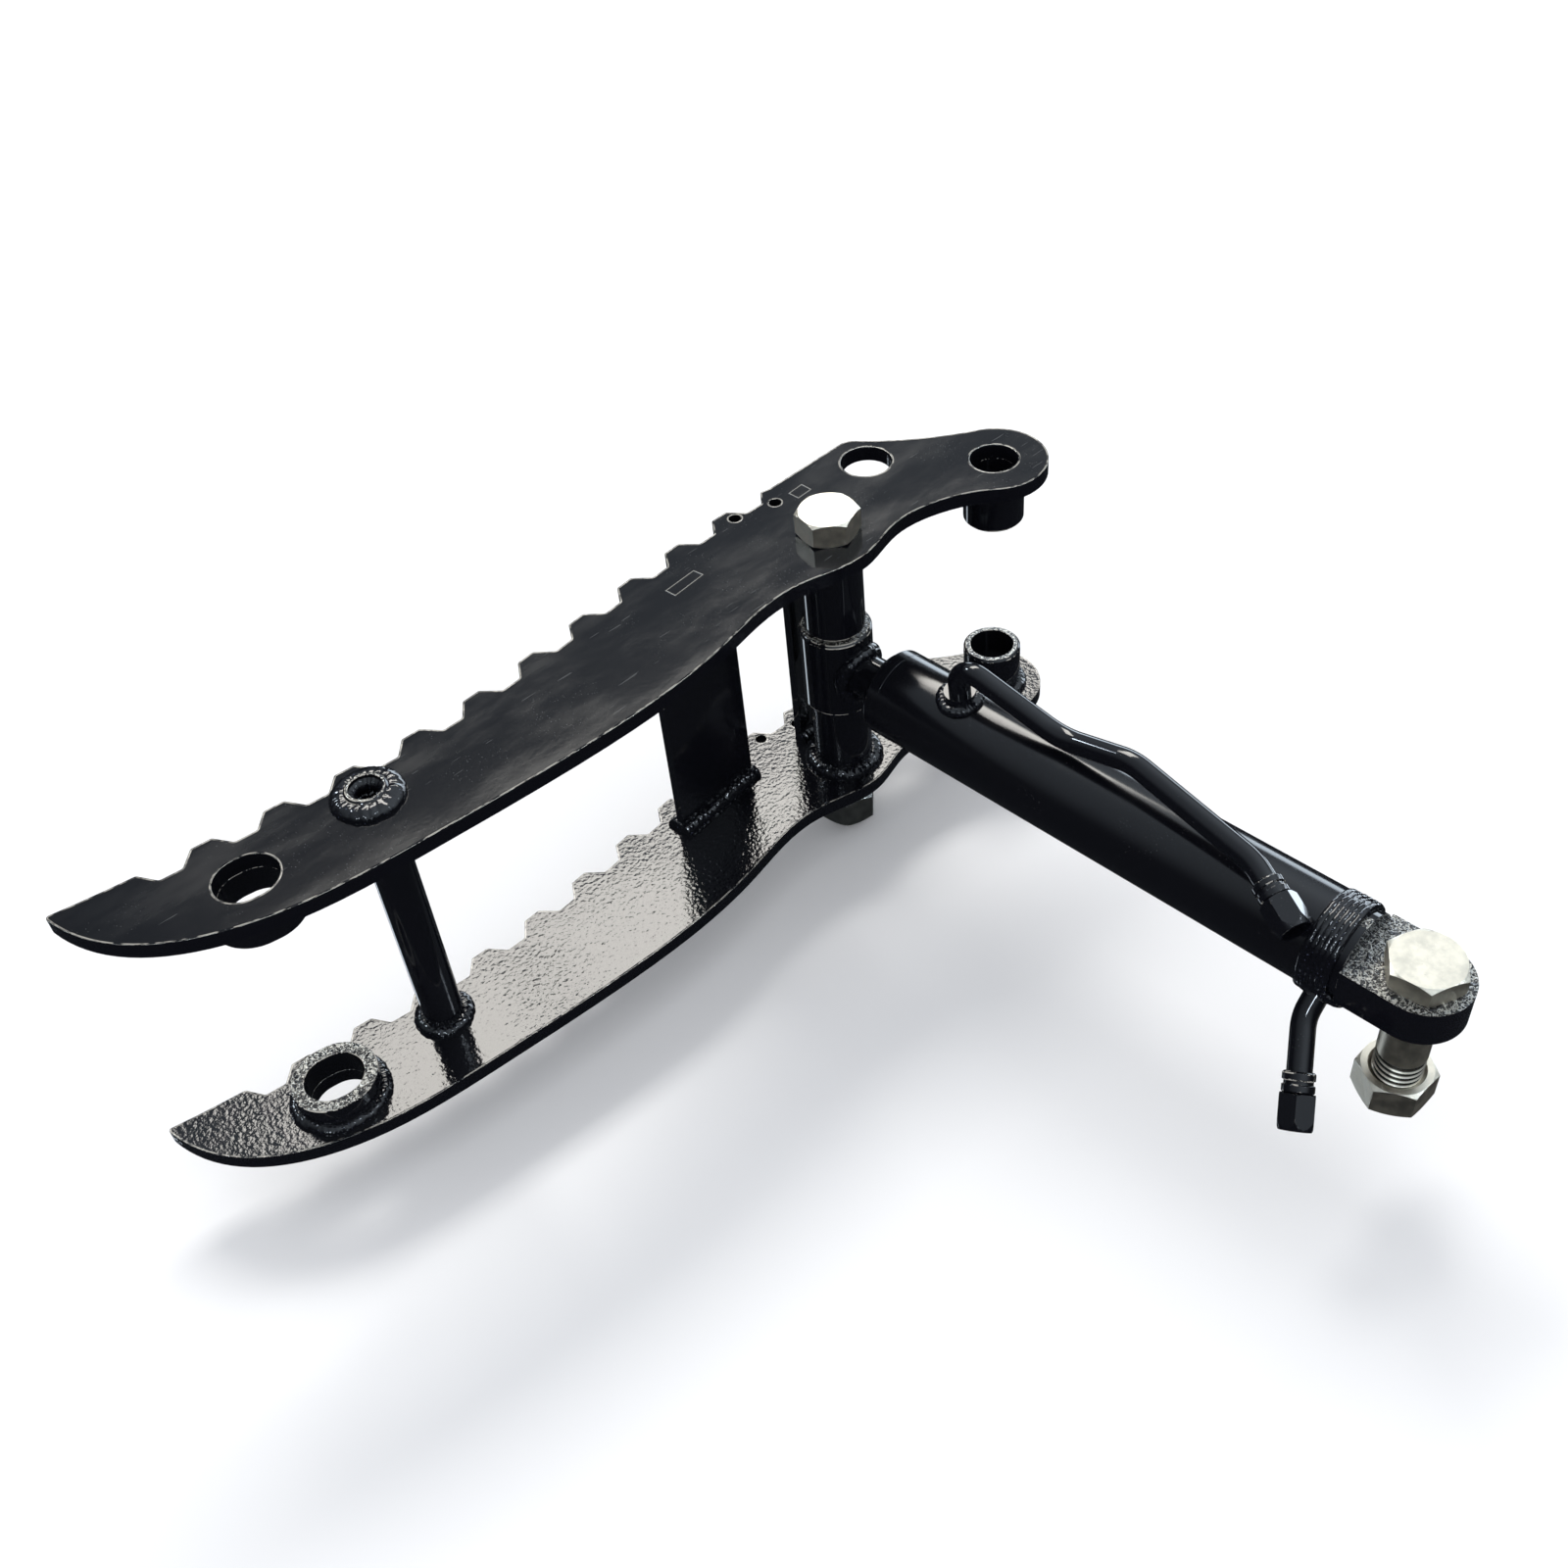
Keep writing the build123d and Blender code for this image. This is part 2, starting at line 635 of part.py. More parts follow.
def write_parts():
    os.makedirs("parts", exist_ok=True)
    for name, shape in parts.items():
        solids = []
        for piece in shape if isinstance(shape, list) else [shape]:
            solids += piece.solids()
        whole = solids[0] if len(solids) == 1 else Compound(children=solids)
        export_step(whole, f"parts/{name}.step")
        print(f"{name}: {len(solids)} solids, {sum(s.volume for s in solids):.0f} mm3")


build()
write_parts()
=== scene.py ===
import json
from math import cos, pi, radians, sin, sqrt, tan

import bmesh
import bpy
from bpy.props import FloatProperty, FloatVectorProperty, PointerProperty
from mathutils import Matrix, Vector


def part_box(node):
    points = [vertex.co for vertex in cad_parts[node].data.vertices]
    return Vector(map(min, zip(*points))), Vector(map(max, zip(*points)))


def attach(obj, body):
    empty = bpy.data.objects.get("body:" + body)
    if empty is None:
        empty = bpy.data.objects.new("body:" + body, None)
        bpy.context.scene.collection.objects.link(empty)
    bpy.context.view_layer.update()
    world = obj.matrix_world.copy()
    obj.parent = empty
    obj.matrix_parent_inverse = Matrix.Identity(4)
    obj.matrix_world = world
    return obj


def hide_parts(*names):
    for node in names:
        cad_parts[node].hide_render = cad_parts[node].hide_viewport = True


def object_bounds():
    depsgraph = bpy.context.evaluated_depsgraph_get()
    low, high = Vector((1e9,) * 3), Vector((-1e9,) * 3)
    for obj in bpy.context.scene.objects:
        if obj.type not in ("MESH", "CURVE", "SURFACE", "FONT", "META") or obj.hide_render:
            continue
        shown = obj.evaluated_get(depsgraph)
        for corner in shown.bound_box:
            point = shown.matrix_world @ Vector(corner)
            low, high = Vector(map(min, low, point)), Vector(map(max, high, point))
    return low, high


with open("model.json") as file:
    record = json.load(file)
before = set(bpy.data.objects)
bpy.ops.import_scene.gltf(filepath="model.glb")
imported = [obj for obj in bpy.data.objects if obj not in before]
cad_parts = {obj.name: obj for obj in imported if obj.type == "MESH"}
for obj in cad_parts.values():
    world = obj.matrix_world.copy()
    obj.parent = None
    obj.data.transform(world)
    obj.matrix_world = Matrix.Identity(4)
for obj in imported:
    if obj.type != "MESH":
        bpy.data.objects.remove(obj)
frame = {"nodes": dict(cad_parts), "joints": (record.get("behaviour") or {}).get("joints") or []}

bl_info = {
    "name": "Excavator Thumb",
    "version": (1, 0, 0),
    "blender": (4, 5, 0),
    "location": "3D View > Sidebar > Thumb",
    "description": "Dresses a toothed excavator thumb and its hydraulic cylinder",
    "category": "Object",
}

CAD_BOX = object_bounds()
MM = 0.001

# Places taken from the frame: the rod's pivot, the cylinder's axis and the base bolt's axis.
JOINTS = {joint["name"]: joint for joint in frame["joints"]}
ROD_PIVOT = Vector(JOINTS["rod_swing"]["pos_m"])
BASE_PIVOT = Vector(JOINTS["base_bolt_turn"]["pos_m"])
CYLINDER_AXIS = Vector(JOINTS["rod_stroke"]["axis"]).normalized()


def box_middle(node):
    low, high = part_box(node)
    return (low + high) / 2


def box_size(node):
    low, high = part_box(node)
    return high - low


def station(node):
    """How far along the cylinder's axis, from the rod's pivot, the middle of a node lies."""
    return (box_middle(node) - ROD_PIVOT).dot(CYLINDER_AXIS)


# How the braces and the tip bosses lie turned from the X axis, in degrees.
BRACE_TURN = 6.0
TIP_BOSS_TURN = -10.0

# Half width, half height and ripple pitch of each weld bead. One without a pitch has the panel's.
BUSH_BEAD = (4.6 * MM, 4.6 * MM, None)
BOSS_BEAD = (4.6 * MM, 4.4 * MM, None)
TUBE_OUTER_BEAD = (7.2 * MM, 5.2 * MM, 4.2 * MM)
TUBE_INNER_BEAD = (5.4 * MM, 5.0 * MM, None)
SPACER_BEAD = (6.4 * MM, 6.4 * MM, 4.2 * MM)
MIDDLE_BRACE_BEAD = (6.6 * MM, 6.6 * MM, 4.4 * MM)
PIVOT_BRACE_BEAD = (4.6 * MM, 4.6 * MM, 4.4 * MM)
ROD_EYE_BEAD = (5.2 * MM, 5.2 * MM, None)
PORT_BEAD = (4.2 * MM, 3.0 * MM, 3.0 * MM)
BASE_RIDGE_BEAD = (1.6 * MM, 1.9 * MM, 9.0 * MM)

# A bead smaller than this has lower lumps, and no ripple is a larger share of its bead's half width.
LUMPY_WIDTH = 5 * MM
LUMPY_HEIGHT = 4 * MM
HIGHEST_RIPPLE = 0.25

# How far apart the seeds of one piece's beads lie.
SEED_STEP = 1.7

# The weld round the barrel's end is laid in ridges, one beside the other.
BASE_RIDGE_COUNT = 6
BASE_RIDGE_STEP = 3.0 * MM

# How far a port's bead lies from the middle of its boss.
PORT_BEAD_RADIUS = 10.6 * MM

# The bolts: the radius of each shank.
PIVOT_BOLT_RADIUS = 12 * MM
BASE_BOLT_RADIUS = 14 * MM

# The heights of the upper plate's two faces. The lower plate's are the same below zero.
INNER_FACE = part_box("side_plate_upper")[0].z
OUTER_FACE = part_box("side_plate_upper")[1].z
INNER_FACES = (INNER_FACE, -INNER_FACE)

# A thread as shares of its pitch: its root's depth, its ridge's half width and how far that lies inside.
THREAD_ROOT = 0.72
THREAD_HALF_WIDTH = 0.6
THREAD_INSET = 0.62

# How many pitches of a threaded end stay free of the ridge, and how many of those lie below it.
THREAD_FREE = 1.2
THREAD_FOOT = 0.75

# A threaded end reaches this far into its bolt and has this chamfer.
BOLT_LAP = 0.2 * MM
CHAMFER_HEIGHT = 1.2 * MM
CHAMFER_WIDTH = 1.4 * MM

# How far the painted neck of the piston rod reaches from the rod's pivot, and where it blends into chrome.
PAINTED_NECK = 52 * MM
NECK_BLEND = 0.4 * MM

# Vertices closer than the first are one, and edges shorter than the second are none.
SAME_PLACE = 2e-6
NO_LENGTH = 1e-6

# Angles in degrees: faces this much alike are one, and a softer edge than this is shaded smooth.
ONE_FACE_ANGLE = 0.4
SMOOTH_BELOW = 38.0

# An edge that turns more than its piece's angle is rounded, in this many steps.
PLATE_EDGE_ANGLE = 45.0
SMALL_EDGE_ANGLE = 32.0
HEXAGON_EDGE_ANGLE = 22.0
ROUNDING_STEPS = 3
LATHE_STEPS = 64


class ThumbPaint(bpy.types.PropertyGroup):
    colour: FloatVectorProperty(
        name="Paint colour", description="Colour of the black enamel", subtype="COLOR",
        size=3, min=0, max=1, default=(0.0035, 0.0038, 0.0058))
    # The bare edge colour also colours the painted highlight line along the plates' rims.
    primer_and_highlight: FloatVectorProperty(
        name="Bare edge colour", description="Colour where paint has chipped off an edge", subtype="COLOR",
        size=3, min=0, max=1, default=(0.42, 0.41, 0.38))
    dust: FloatVectorProperty(
        name="Dust colour", description="Colour of the dust on the paint", subtype="COLOR",
        size=3, min=0, max=1, default=(0.16, 0.17, 0.18))
    gloss: FloatProperty(
        name="Paint roughness", description="Roughness of the clean gloss paint",
        min=0, max=1, default=0.07)
    satin: FloatProperty(
        name="Plate face roughness", description="Roughness of the rubbed outer faces of the plates",
        min=0, max=1, default=0.09)
    peel_size: FloatProperty(
        name="Orange peel size", description="Size of one bump of the orange peel", unit="LENGTH",
        min=0.0005, default=2.7 * MM)
    peel_depth: FloatProperty(
        name="Orange peel depth", description="Depth of the orange peel inside the plates", unit="LENGTH",
        min=0, default=0.2 * MM)
    edge_rounding: FloatProperty(
        name="Edge rounding", description="Width of the rounding on the plates' edges", unit="LENGTH",
        min=0.0001, default=1.2 * MM)
    small_rounding: FloatProperty(
        name="Small edge rounding", description="Width of the rounding on the small pieces' edges",
        unit="LENGTH", min=0.0001, default=0.4 * MM)


class ThumbWelds(bpy.types.PropertyGroup):
    ripple_pitch: FloatProperty(
        name="Ripple pitch", description="Distance from one weld ripple to the next", unit="LENGTH",
        min=0.001, default=3.6 * MM)
    ripple_height: FloatProperty(
        name="Ripple height", description="Height of the weld ripples", unit="LENGTH",
        min=0, default=0.5 * MM)
    lump_size: FloatProperty(
        name="Lump size", description="Size of the lumps in the weld", unit="LENGTH",
        min=0.001, default=8.0 * MM)
    lump_height: FloatProperty(
        name="Lump height", description="Height of the lumps in the weld", unit="LENGTH",
        min=0, default=3.0 * MM)


class ThumbBolts(bpy.types.PropertyGroup):
    zinc: FloatVectorProperty(
        name="Zinc colour", description="Colour of the zinc plate on bolts and nuts", subtype="COLOR",
        size=3, min=0, max=1, default=(0.77, 0.72, 0.61))
    pivot_pitch: FloatProperty(
        name="Pivot bolt pitch", description="Thread pitch of the long pivot bolt", unit="LENGTH",
        min=0.0005, default=3.0 * MM)
    base_pitch: FloatProperty(
        name="Base bolt pitch", description="Thread pitch of the base bolt", unit="LENGTH",
        min=0.0005, default=4.2 * MM)
    pivot_thread: FloatProperty(
        name="Pivot bolt thread", description="Threaded length of the pivot bolt", unit="LENGTH",
        min=0.005, default=42 * MM)
    base_thread: FloatProperty(
        name="Base bolt thread", description="Threaded length of the base bolt", unit="LENGTH",
        min=0.005, default=37 * MM)


class ThumbStudio(bpy.types.PropertyGroup):
    background: FloatVectorProperty(
        name="Background", description="Colour of the background", subtype="COLOR",
        size=3, min=0, max=1, default=(1.0, 1.0, 1.0))
    floor: FloatVectorProperty(
        name="Floor colour", description="Colour of the floor", subtype="COLOR",
        size=3, min=0, max=1, default=(0.86, 0.88, 0.92))
    surround: FloatProperty(
        name="Surround light", description="Strength of the light from all round", min=0, default=0.95)
    window: FloatProperty(
        name="Window light", description="Brightness of the large softbox behind the thumb", min=0,
        default=12)
    horizon: FloatProperty(
        name="Horizon light", description="Brightness of the low band that lights the rims", min=0,
        default=6)
    glint: FloatProperty(
        name="Glint light", description="Brightness of the small cards that make glints", min=0,
        default=45)


def add(tree, kind, inputs=None, **settings):
    """Adds a node. Each input is a socket to link from, or a value for the socket itself."""
    made = tree.nodes.new(kind)
    for key, value in settings.items():
        setattr(made, key, value)
    for key, value in (inputs or {}).items():
        socket = made.inputs[key]
        if isinstance(value, bpy.types.NodeSocket):
            tree.links.new(value, socket)
        else:
            socket.default_value = value
    return made


def calc(tree, operation, *values, clamp=False):
    """The result of one Math node on sockets or numbers."""
    made = add(tree, "ShaderNodeMath", dict(enumerate(values)), operation=operation, use_clamp=clamp)
    return made.outputs[0]


def step_between(tree, value, low, high, top=1.0):
    """Rises smoothly from 0 where the value is low to the top where it is high."""
    inputs = {"Value": value, "From Min": low, "From Max": high, "To Max": top}
    made = add(tree, "ShaderNodeMapRange", inputs, interpolation_type="SMOOTHSTEP")
    return made.outputs["Result"]


def blend(tree, amount, first, second):
    """The first colour where the amount is 0 and the second where it is 1."""
    made = add(tree, "ShaderNodeMix", data_type="RGBA")
    for socket, value in ((made.inputs[0], amount), (made.inputs[6], first), (made.inputs[7], second)):
        if isinstance(value, bpy.types.NodeSocket):
            tree.links.new(value, socket)
        elif socket.type == "RGBA":
            socket.default_value = (*value[:3], 1)
        else:
            socket.default_value = value
    return made.outputs[2]


def object_place(tree, scale=(1, 1, 1)):
    """Object coordinates, stretched by a scale where one is given."""
    place = add(tree, "ShaderNodeTexCoord").outputs["Object"]
    if tuple(scale) == (1, 1, 1):
        return place
    return add(tree, "ShaderNodeMapping", {"Vector": place, "Scale": scale}).outputs[0]


def noise_at(tree, place, scale, detail=2.0, roughness=0.5):
    """A noise pattern with about this many bumps for each unit of the place."""
    made = add(tree, "ShaderNodeTexNoise",
               {"Vector": place, "Scale": scale, "Detail": detail, "Roughness": roughness})
    return made.outputs["Fac"]


def effect_group(name, inputs, outputs):
    """An empty shader node group with float sockets, and its input and output nodes."""
    tree = bpy.data.node_groups.new(name, "ShaderNodeTree")
    for key, default in inputs.items():
        socket = tree.interface.new_socket(key, in_out="INPUT", socket_type="NodeSocketFloat")
        socket.default_value = default
    for key in outputs:
        tree.interface.new_socket(key, in_out="OUTPUT", socket_type="NodeSocketFloat")
    return tree, add(tree, "NodeGroupInput").outputs, add(tree, "NodeGroupOutput").inputs


def build_peel_group():
    """Orange peel: round bumps with creases between them and a finer ripple on them."""
    tree, given, out = effect_group("orange_peel", {"Size": 3.4 * MM, "Fine share": 0.25}, ["Height"])
    place = object_place(tree)
    scale = calc(tree, "DIVIDE", 1.0, given["Size"])
    coarse = noise_at(tree, place, scale, detail=1.0)
    cells = add(tree, "ShaderNodeTexVoronoi", {"Vector": place, "Scale": scale, "Smoothness": 0.35},
                feature="SMOOTH_F1").outputs["Distance"]
    fine = noise_at(tree, place, calc(tree, "MULTIPLY", scale, 2.7), detail=2.0)
    bumps = calc(tree, "MULTIPLY_ADD", cells, -0.5, coarse)
    fine = calc(tree, "MULTIPLY", fine, given["Fine share"])
    tree.links.new(calc(tree, "ADD", bumps, fine), out["Height"])


def build_dust_group():
    """Specks, smears and fine scratches that lie on a handled painted face."""
    tree, given, out = effect_group("handled_paint", {"Speck size": 1.6 * MM, "Amount": 1.0},
                                    ["Specks", "Smears", "Scratches"])
    place = object_place(tree)
    scale = calc(tree, "DIVIDE", 1.0, given["Speck size"])
    cells = add(tree, "ShaderNodeTexVoronoi", {"Vector": place, "Scale": scale, "Randomness": 1.0})
    chance = add(tree, "ShaderNodeSeparateColor", {0: cells.outputs["Color"]}).outputs[0]
    dots = calc(tree, "LESS_THAN", cells.outputs["Distance"], calc(tree, "MULTIPLY", chance, 0.22))
    cluster = step_between(tree, noise_at(tree, place, 34.0, detail=3.0), 0.5, 0.66)
    specks = calc(tree, "MULTIPLY", dots, cluster)
    tree.links.new(calc(tree, "MULTIPLY", specks, given["Amount"], clamp=True), out["Specks"])
    smear = noise_at(tree, object_place(tree, (9, 26, 9)), 1.0, detail=5.0, roughness=0.62)
    smear = step_between(tree, smear, 0.42, 0.72)
    tree.links.new(calc(tree, "MULTIPLY", smear, given["Amount"], clamp=True), out["Smears"])
    lines = []
    for turn, stretch in ((0.5, 520.0), (-0.9, 640.0)):
        turned = add(tree, "ShaderNodeMapping", {"Vector": place, "Rotation": (0, 0, turn),
                                                 "Scale": (34, stretch, 34)}).outputs[0]
        line = noise_at(tree, turned, 1.0, detail=1.0)
        lines.append(calc(tree, "GREATER_THAN", line, 0.77))
    scratches = calc(tree, "MULTIPLY", calc(tree, "MAXIMUM", *lines), given["Amount"], clamp=True)
    tree.links.new(scratches, out["Scratches"])


def build_wear_group():
    """Chipped paint along an edge: an edge mask broken up by noise."""
    tree, given, out = effect_group("edge_wear", {"Edge": 0.0, "Wear": 0.5}, ["Chips"])
    place = object_place(tree)
    patches = noise_at(tree, place, 60.0, detail=4.0, roughness=0.6)
    bits = noise_at(tree, place, 420.0, detail=3.0, roughness=0.6)
    chance = calc(tree, "ADD", calc(tree, "MULTIPLY", patches, 0.6), calc(tree, "MULTIPLY", bits, 0.4))
    cut = calc(tree, "SUBTRACT", 0.76, calc(tree, "MULTIPLY", given["Wear"], 0.42))
    chips = calc(tree, "GREATER_THAN", chance, cut)
    tree.links.new(calc(tree, "MULTIPLY", chips, given["Edge"]), out["Chips"])


def build_zinc_group():
    """Mottled grain of dull zinc plate with small dark pits."""
    tree, given, out = effect_group("zinc_grain", {"Grain size": 1.2 * MM}, ["Mottle", "Pits", "Height"])
    place = object_place(tree)
    scale = calc(tree, "DIVIDE", 1.0, given["Grain size"])
    cloudy = noise_at(tree, place, calc(tree, "MULTIPLY", scale, 0.14), detail=4.0, roughness=0.6)
    tree.links.new(step_between(tree, cloudy, 0.3, 0.72), out["Mottle"])
    grain = noise_at(tree, place, scale, detail=3.0, roughness=0.6)
    tree.links.new(step_between(tree, grain, 0.66, 0.74), out["Pits"])
    tree.links.new(grain, out["Height"])


def group(tree, name, **values):
    """Places a shader node group in a material with the material's own values."""
    made = tree.nodes.new("ShaderNodeGroup")
    made.node_tree = bpy.data.node_groups[name]
    for key, value in values.items():
        socket = made.inputs[key.replace("_", " ").capitalize()]
        if isinstance(value, bpy.types.NodeSocket):
            tree.links.new(value, socket)
        else:
            socket.default_value = value
    return made.outputs


# Colours and roughnesses of the finishes that the panel doesn't list.
SCRAPED_METAL = (0.5, 0.5, 0.47)
STAMP_LINE = (0.3, 0.3, 0.28)
# The bluish colour of the painted glints on the welds.
WELD_GLINT = (0.12, 0.14, 0.24)
# The near-black colour of the painted shade in the bolts' thread grooves.
THREAD_GROOVE_SHADE = (0.03, 0.027, 0.022)
WORN_ZINC = (0.85, 0.85, 0.82)
CHROME = (0.62, 0.63, 0.65)
DULL_NUT = (0.4, 0.41, 0.39)
STEEL = (0.5, 0.51, 0.52)
DARK_RUBBER = (0.012, 0.012, 0.012)
PALE_RUBBER = (0.03, 0.03, 0.03)
ZINC_ROUGHNESS = 0.34
NUT_ROUGHNESS = 0.3


def new_material(name):
    """A new material's tree and its Principled BSDF."""
    made = bpy.data.materials.new(name)
    made.use_nodes = True
    return made.node_tree, made.node_tree.nodes["Principled BSDF"]


def bump(tree, shader, height, distance):
    """Turns a height pattern into relief, this deep where the height is 1."""
    made = add(tree, "ShaderNodeBump", {"Height": height, "Distance": distance, "Strength": 1.0})
    tree.links.new(made.outputs[0], shader.inputs["Normal"])


def carried_mask(tree, name):
    """A mask that a mesh carries: edge on roundings, flat on level faces, lip on a plate's rim."""
    return add(tree, "ShaderNodeAttribute", attribute_name=name).outputs["Fac"]


# The two bare stamp outlines on the upper plate, in millimetres: their line, and their corners.
STAMP_LINE_HALF_WIDTH = 0.42
STAMPS = (
    ((207.1, -59.3), (205.9, -52.0), (230.4, -49.3), (231.1, -57.2)),
    ((100.9, -74.4), (100.9, -66.0), (112.6, -65.2), (112.9, -73.5)),
)


def stamp_lines(tree, corners):
    """A mask that is 1 on a thin line round four corners."""
    place = add(tree, "ShaderNodeSeparateXYZ", {0: object_place(tree)}).outputs
    middle = sum((Vector(corner) for corner in corners), Vector((0, 0))) / 4
    walls = []
    for first, second in zip(corners, corners[1:] + corners[:1]):
        first, second = Vector(first), Vector(second)
        along = (second - first).normalized()
        outward = Vector((along.y, -along.x))
        if outward.dot(middle - first) > 0:
            outward = -outward
        across = calc(tree, "MULTIPLY_ADD", place[0], outward.x / MM,
                      calc(tree, "MULTIPLY_ADD", place[1], outward.y / MM, -outward.dot(first)))
        walls.append(across)
    reach = calc(tree, "MAXIMUM", calc(tree, "MAXIMUM", walls[0], walls[1]),
                 calc(tree, "MAXIMUM", walls[2], walls[3]))
    reach = calc(tree, "ABSOLUTE", reach)
    outside = step_between(tree, reach, 0.6 * STAMP_LINE_HALF_WIDTH, STAMP_LINE_HALF_WIDTH)
    return calc(tree, "SUBTRACT", 1.0, outside)


def plate_enamel(name, stamped):
    """Black paint on a plate: rubbed and dusty outside, orange peel inside, with a pale line along the rim
    that is a painted highlight.
    """
    paint = bpy.context.scene.thumb_paint
    tree, shader = new_material(name)
    shader.inputs["Specular IOR Level"].default_value = 0.2 if stamped else 0.5
    height = add(tree, "ShaderNodeSeparateXYZ", {0: object_place(tree)}).outputs[2]
    height = calc(tree, "ABSOLUTE", height)
    outside = step_between(tree, height, OUTER_FACE - 0.2 * MM, OUTER_FACE - 0.1 * MM)
    edge = carried_mask(tree, "edge")
    wear = group(tree, "edge_wear", edge=edge, wear=0.7)
    dirt = group(tree, "handled_paint", speck_size=1.5 * MM, amount=1.0)
    scratches = calc(tree, "MULTIPLY", dirt["Scratches"], 0.6)
    dusty = calc(tree, "MULTIPLY", outside, calc(tree, "MAXIMUM", dirt["Specks"], scratches))
    colour = blend(tree, calc(tree, "MULTIPLY", dusty, 0.5), paint.colour, paint.dust)
    smears = calc(tree, "MULTIPLY", dirt["Smears"], outside)
    colour = blend(tree, calc(tree, "MULTIPLY", smears, 0.05), colour, paint.dust)
    colour = blend(tree, wear["Chips"], colour, paint.primer_and_highlight)
    rough = calc(tree, "MULTIPLY_ADD", outside, paint.satin - paint.gloss, paint.gloss)
    rough = calc(tree, "MULTIPLY_ADD", smears, 0.1, rough)
    rough = calc(tree, "MULTIPLY_ADD", wear["Chips"], 0.2, rough)
    peel = group(tree, "orange_peel", size=paint.peel_size, fine_share=0.3)["Height"]
    patches = step_between(tree, noise_at(tree, object_place(tree), 8.0, detail=1.0), 0.36, 0.56)
    inside = calc(tree, "MULTIPLY_ADD", patches, 0.55, 0.45)
    share = calc(tree, "MULTIPLY", inside, calc(tree, "MULTIPLY_ADD", outside, -0.94, 1.0))
    carried_lip = carried_mask(tree, "lip")
    lip = calc(tree, "MULTIPLY", step_between(tree, carried_lip, 0.0, 1.0), 0.6)
    # Painted highlight: a pale line just inside the plate's rim, broken up by noise, stands in for light
    # caught by the rounded edge.
    rim = calc(tree, "SUBTRACT", step_between(tree, carried_lip, 0.1, 0.35),
               step_between(tree, carried_lip, 0.75, 0.98))
    highlight_breaks = step_between(tree, noise_at(tree, object_place(tree), 130.0, detail=3.0), 0.4, 0.56)
    rim = calc(tree, "MULTIPLY", calc(tree, "MULTIPLY", rim, highlight_breaks), 0.8)
    colour = blend(tree, rim, colour, paint.primer_and_highlight)
    relief = calc(tree, "MULTIPLY_ADD", peel, share, lip)
    if stamped:
        lines = calc(tree, "MAXIMUM", *[stamp_lines(tree, corners) for corners in STAMPS])
        lines = calc(tree, "MULTIPLY", lines, outside)
        colour = blend(tree, calc(tree, "MULTIPLY", lines, 0.75), colour, STAMP_LINE)
        relief = calc(tree, "MULTIPLY_ADD", lines, -1.2, relief)
    tree.links.new(colour, shader.inputs["Base Color"])
    tree.links.new(rough, shader.inputs["Roughness"])
    tree.links.new(wear["Chips"], shader.inputs["Metallic"])
    bump(tree, shader, relief, paint.peel_depth)


def gloss_enamel(name, peel, size=5.0 * MM, dusty=0.0, wear=0.25, dull=0.0):
    """Gloss black paint: a soft orange peel, a few specks and rubbed edges."""
    paint = bpy.context.scene.thumb_paint
    tree, shader = new_material(name)
    marks = group(tree, "edge_wear", edge=carried_mask(tree, "edge"), wear=wear)
    dirt = group(tree, "handled_paint", speck_size=1.9 * MM, amount=dusty + 0.35)
    colour = blend(tree, calc(tree, "MULTIPLY", dirt["Specks"], 0.35), paint.colour, paint.dust)
    colour = blend(tree, marks["Chips"], colour, paint.primer_and_highlight)
    rough = calc(tree, "MULTIPLY_ADD", dirt["Smears"], 0.12, paint.gloss + dull)
    height = group(tree, "orange_peel", size=size, fine_share=0.25)["Height"]
    tree.links.new(colour, shader.inputs["Base Color"])
    tree.links.new(rough, shader.inputs["Roughness"])
    bump(tree, shader, height, paint.peel_depth * peel)


def crinkle_enamel(name, grain=3.4 * MM, depth=0.6 * MM, bare=0.0, streaks=0.8):
    """Gloss paint, smooth but for the level faces, which are coarse with bare metal showing through."""
    paint = bpy.context.scene.thumb_paint
    tree, shader = new_material(name)
    flat = carried_mask(tree, "flat")
    marks = group(tree, "edge_wear", edge=carried_mask(tree, "edge"), wear=0.6)
    grit = noise_at(tree, object_place(tree), 1 / grain, detail=3.0, roughness=0.6)
    cells = add(tree, "ShaderNodeTexVoronoi", {"Vector": object_place(tree), "Scale": 1 / grain})
    worms = calc(tree, "MULTIPLY", calc(tree, "ABSOLUTE", calc(tree, "SUBTRACT", grit, 0.5)), 3.0)
    level = calc(tree, "MULTIPLY", calc(tree, "ADD", worms, cells.outputs["Distance"]), flat)
    thin = calc(tree, "SUBTRACT", streaks, step_between(tree, worms, 0.05, 0.17, streaks))
    scraped = calc(tree, "MAXIMUM", step_between(tree, grit, 0.62 - bare, 0.74 - bare), thin)
    scraped = calc(tree, "MULTIPLY", scraped, flat)
    colour = blend(tree, scraped, paint.colour, SCRAPED_METAL)
    colour = blend(tree, marks["Chips"], colour, paint.primer_and_highlight)
    tree.links.new(colour, shader.inputs["Base Color"])
    tree.links.new(calc(tree, "MULTIPLY_ADD", scraped, 0.25, paint.gloss), shader.inputs["Roughness"])
    tree.links.new(calc(tree, "MULTIPLY", scraped, 0.8), shader.inputs["Metallic"])
    bump(tree, shader, level, depth)


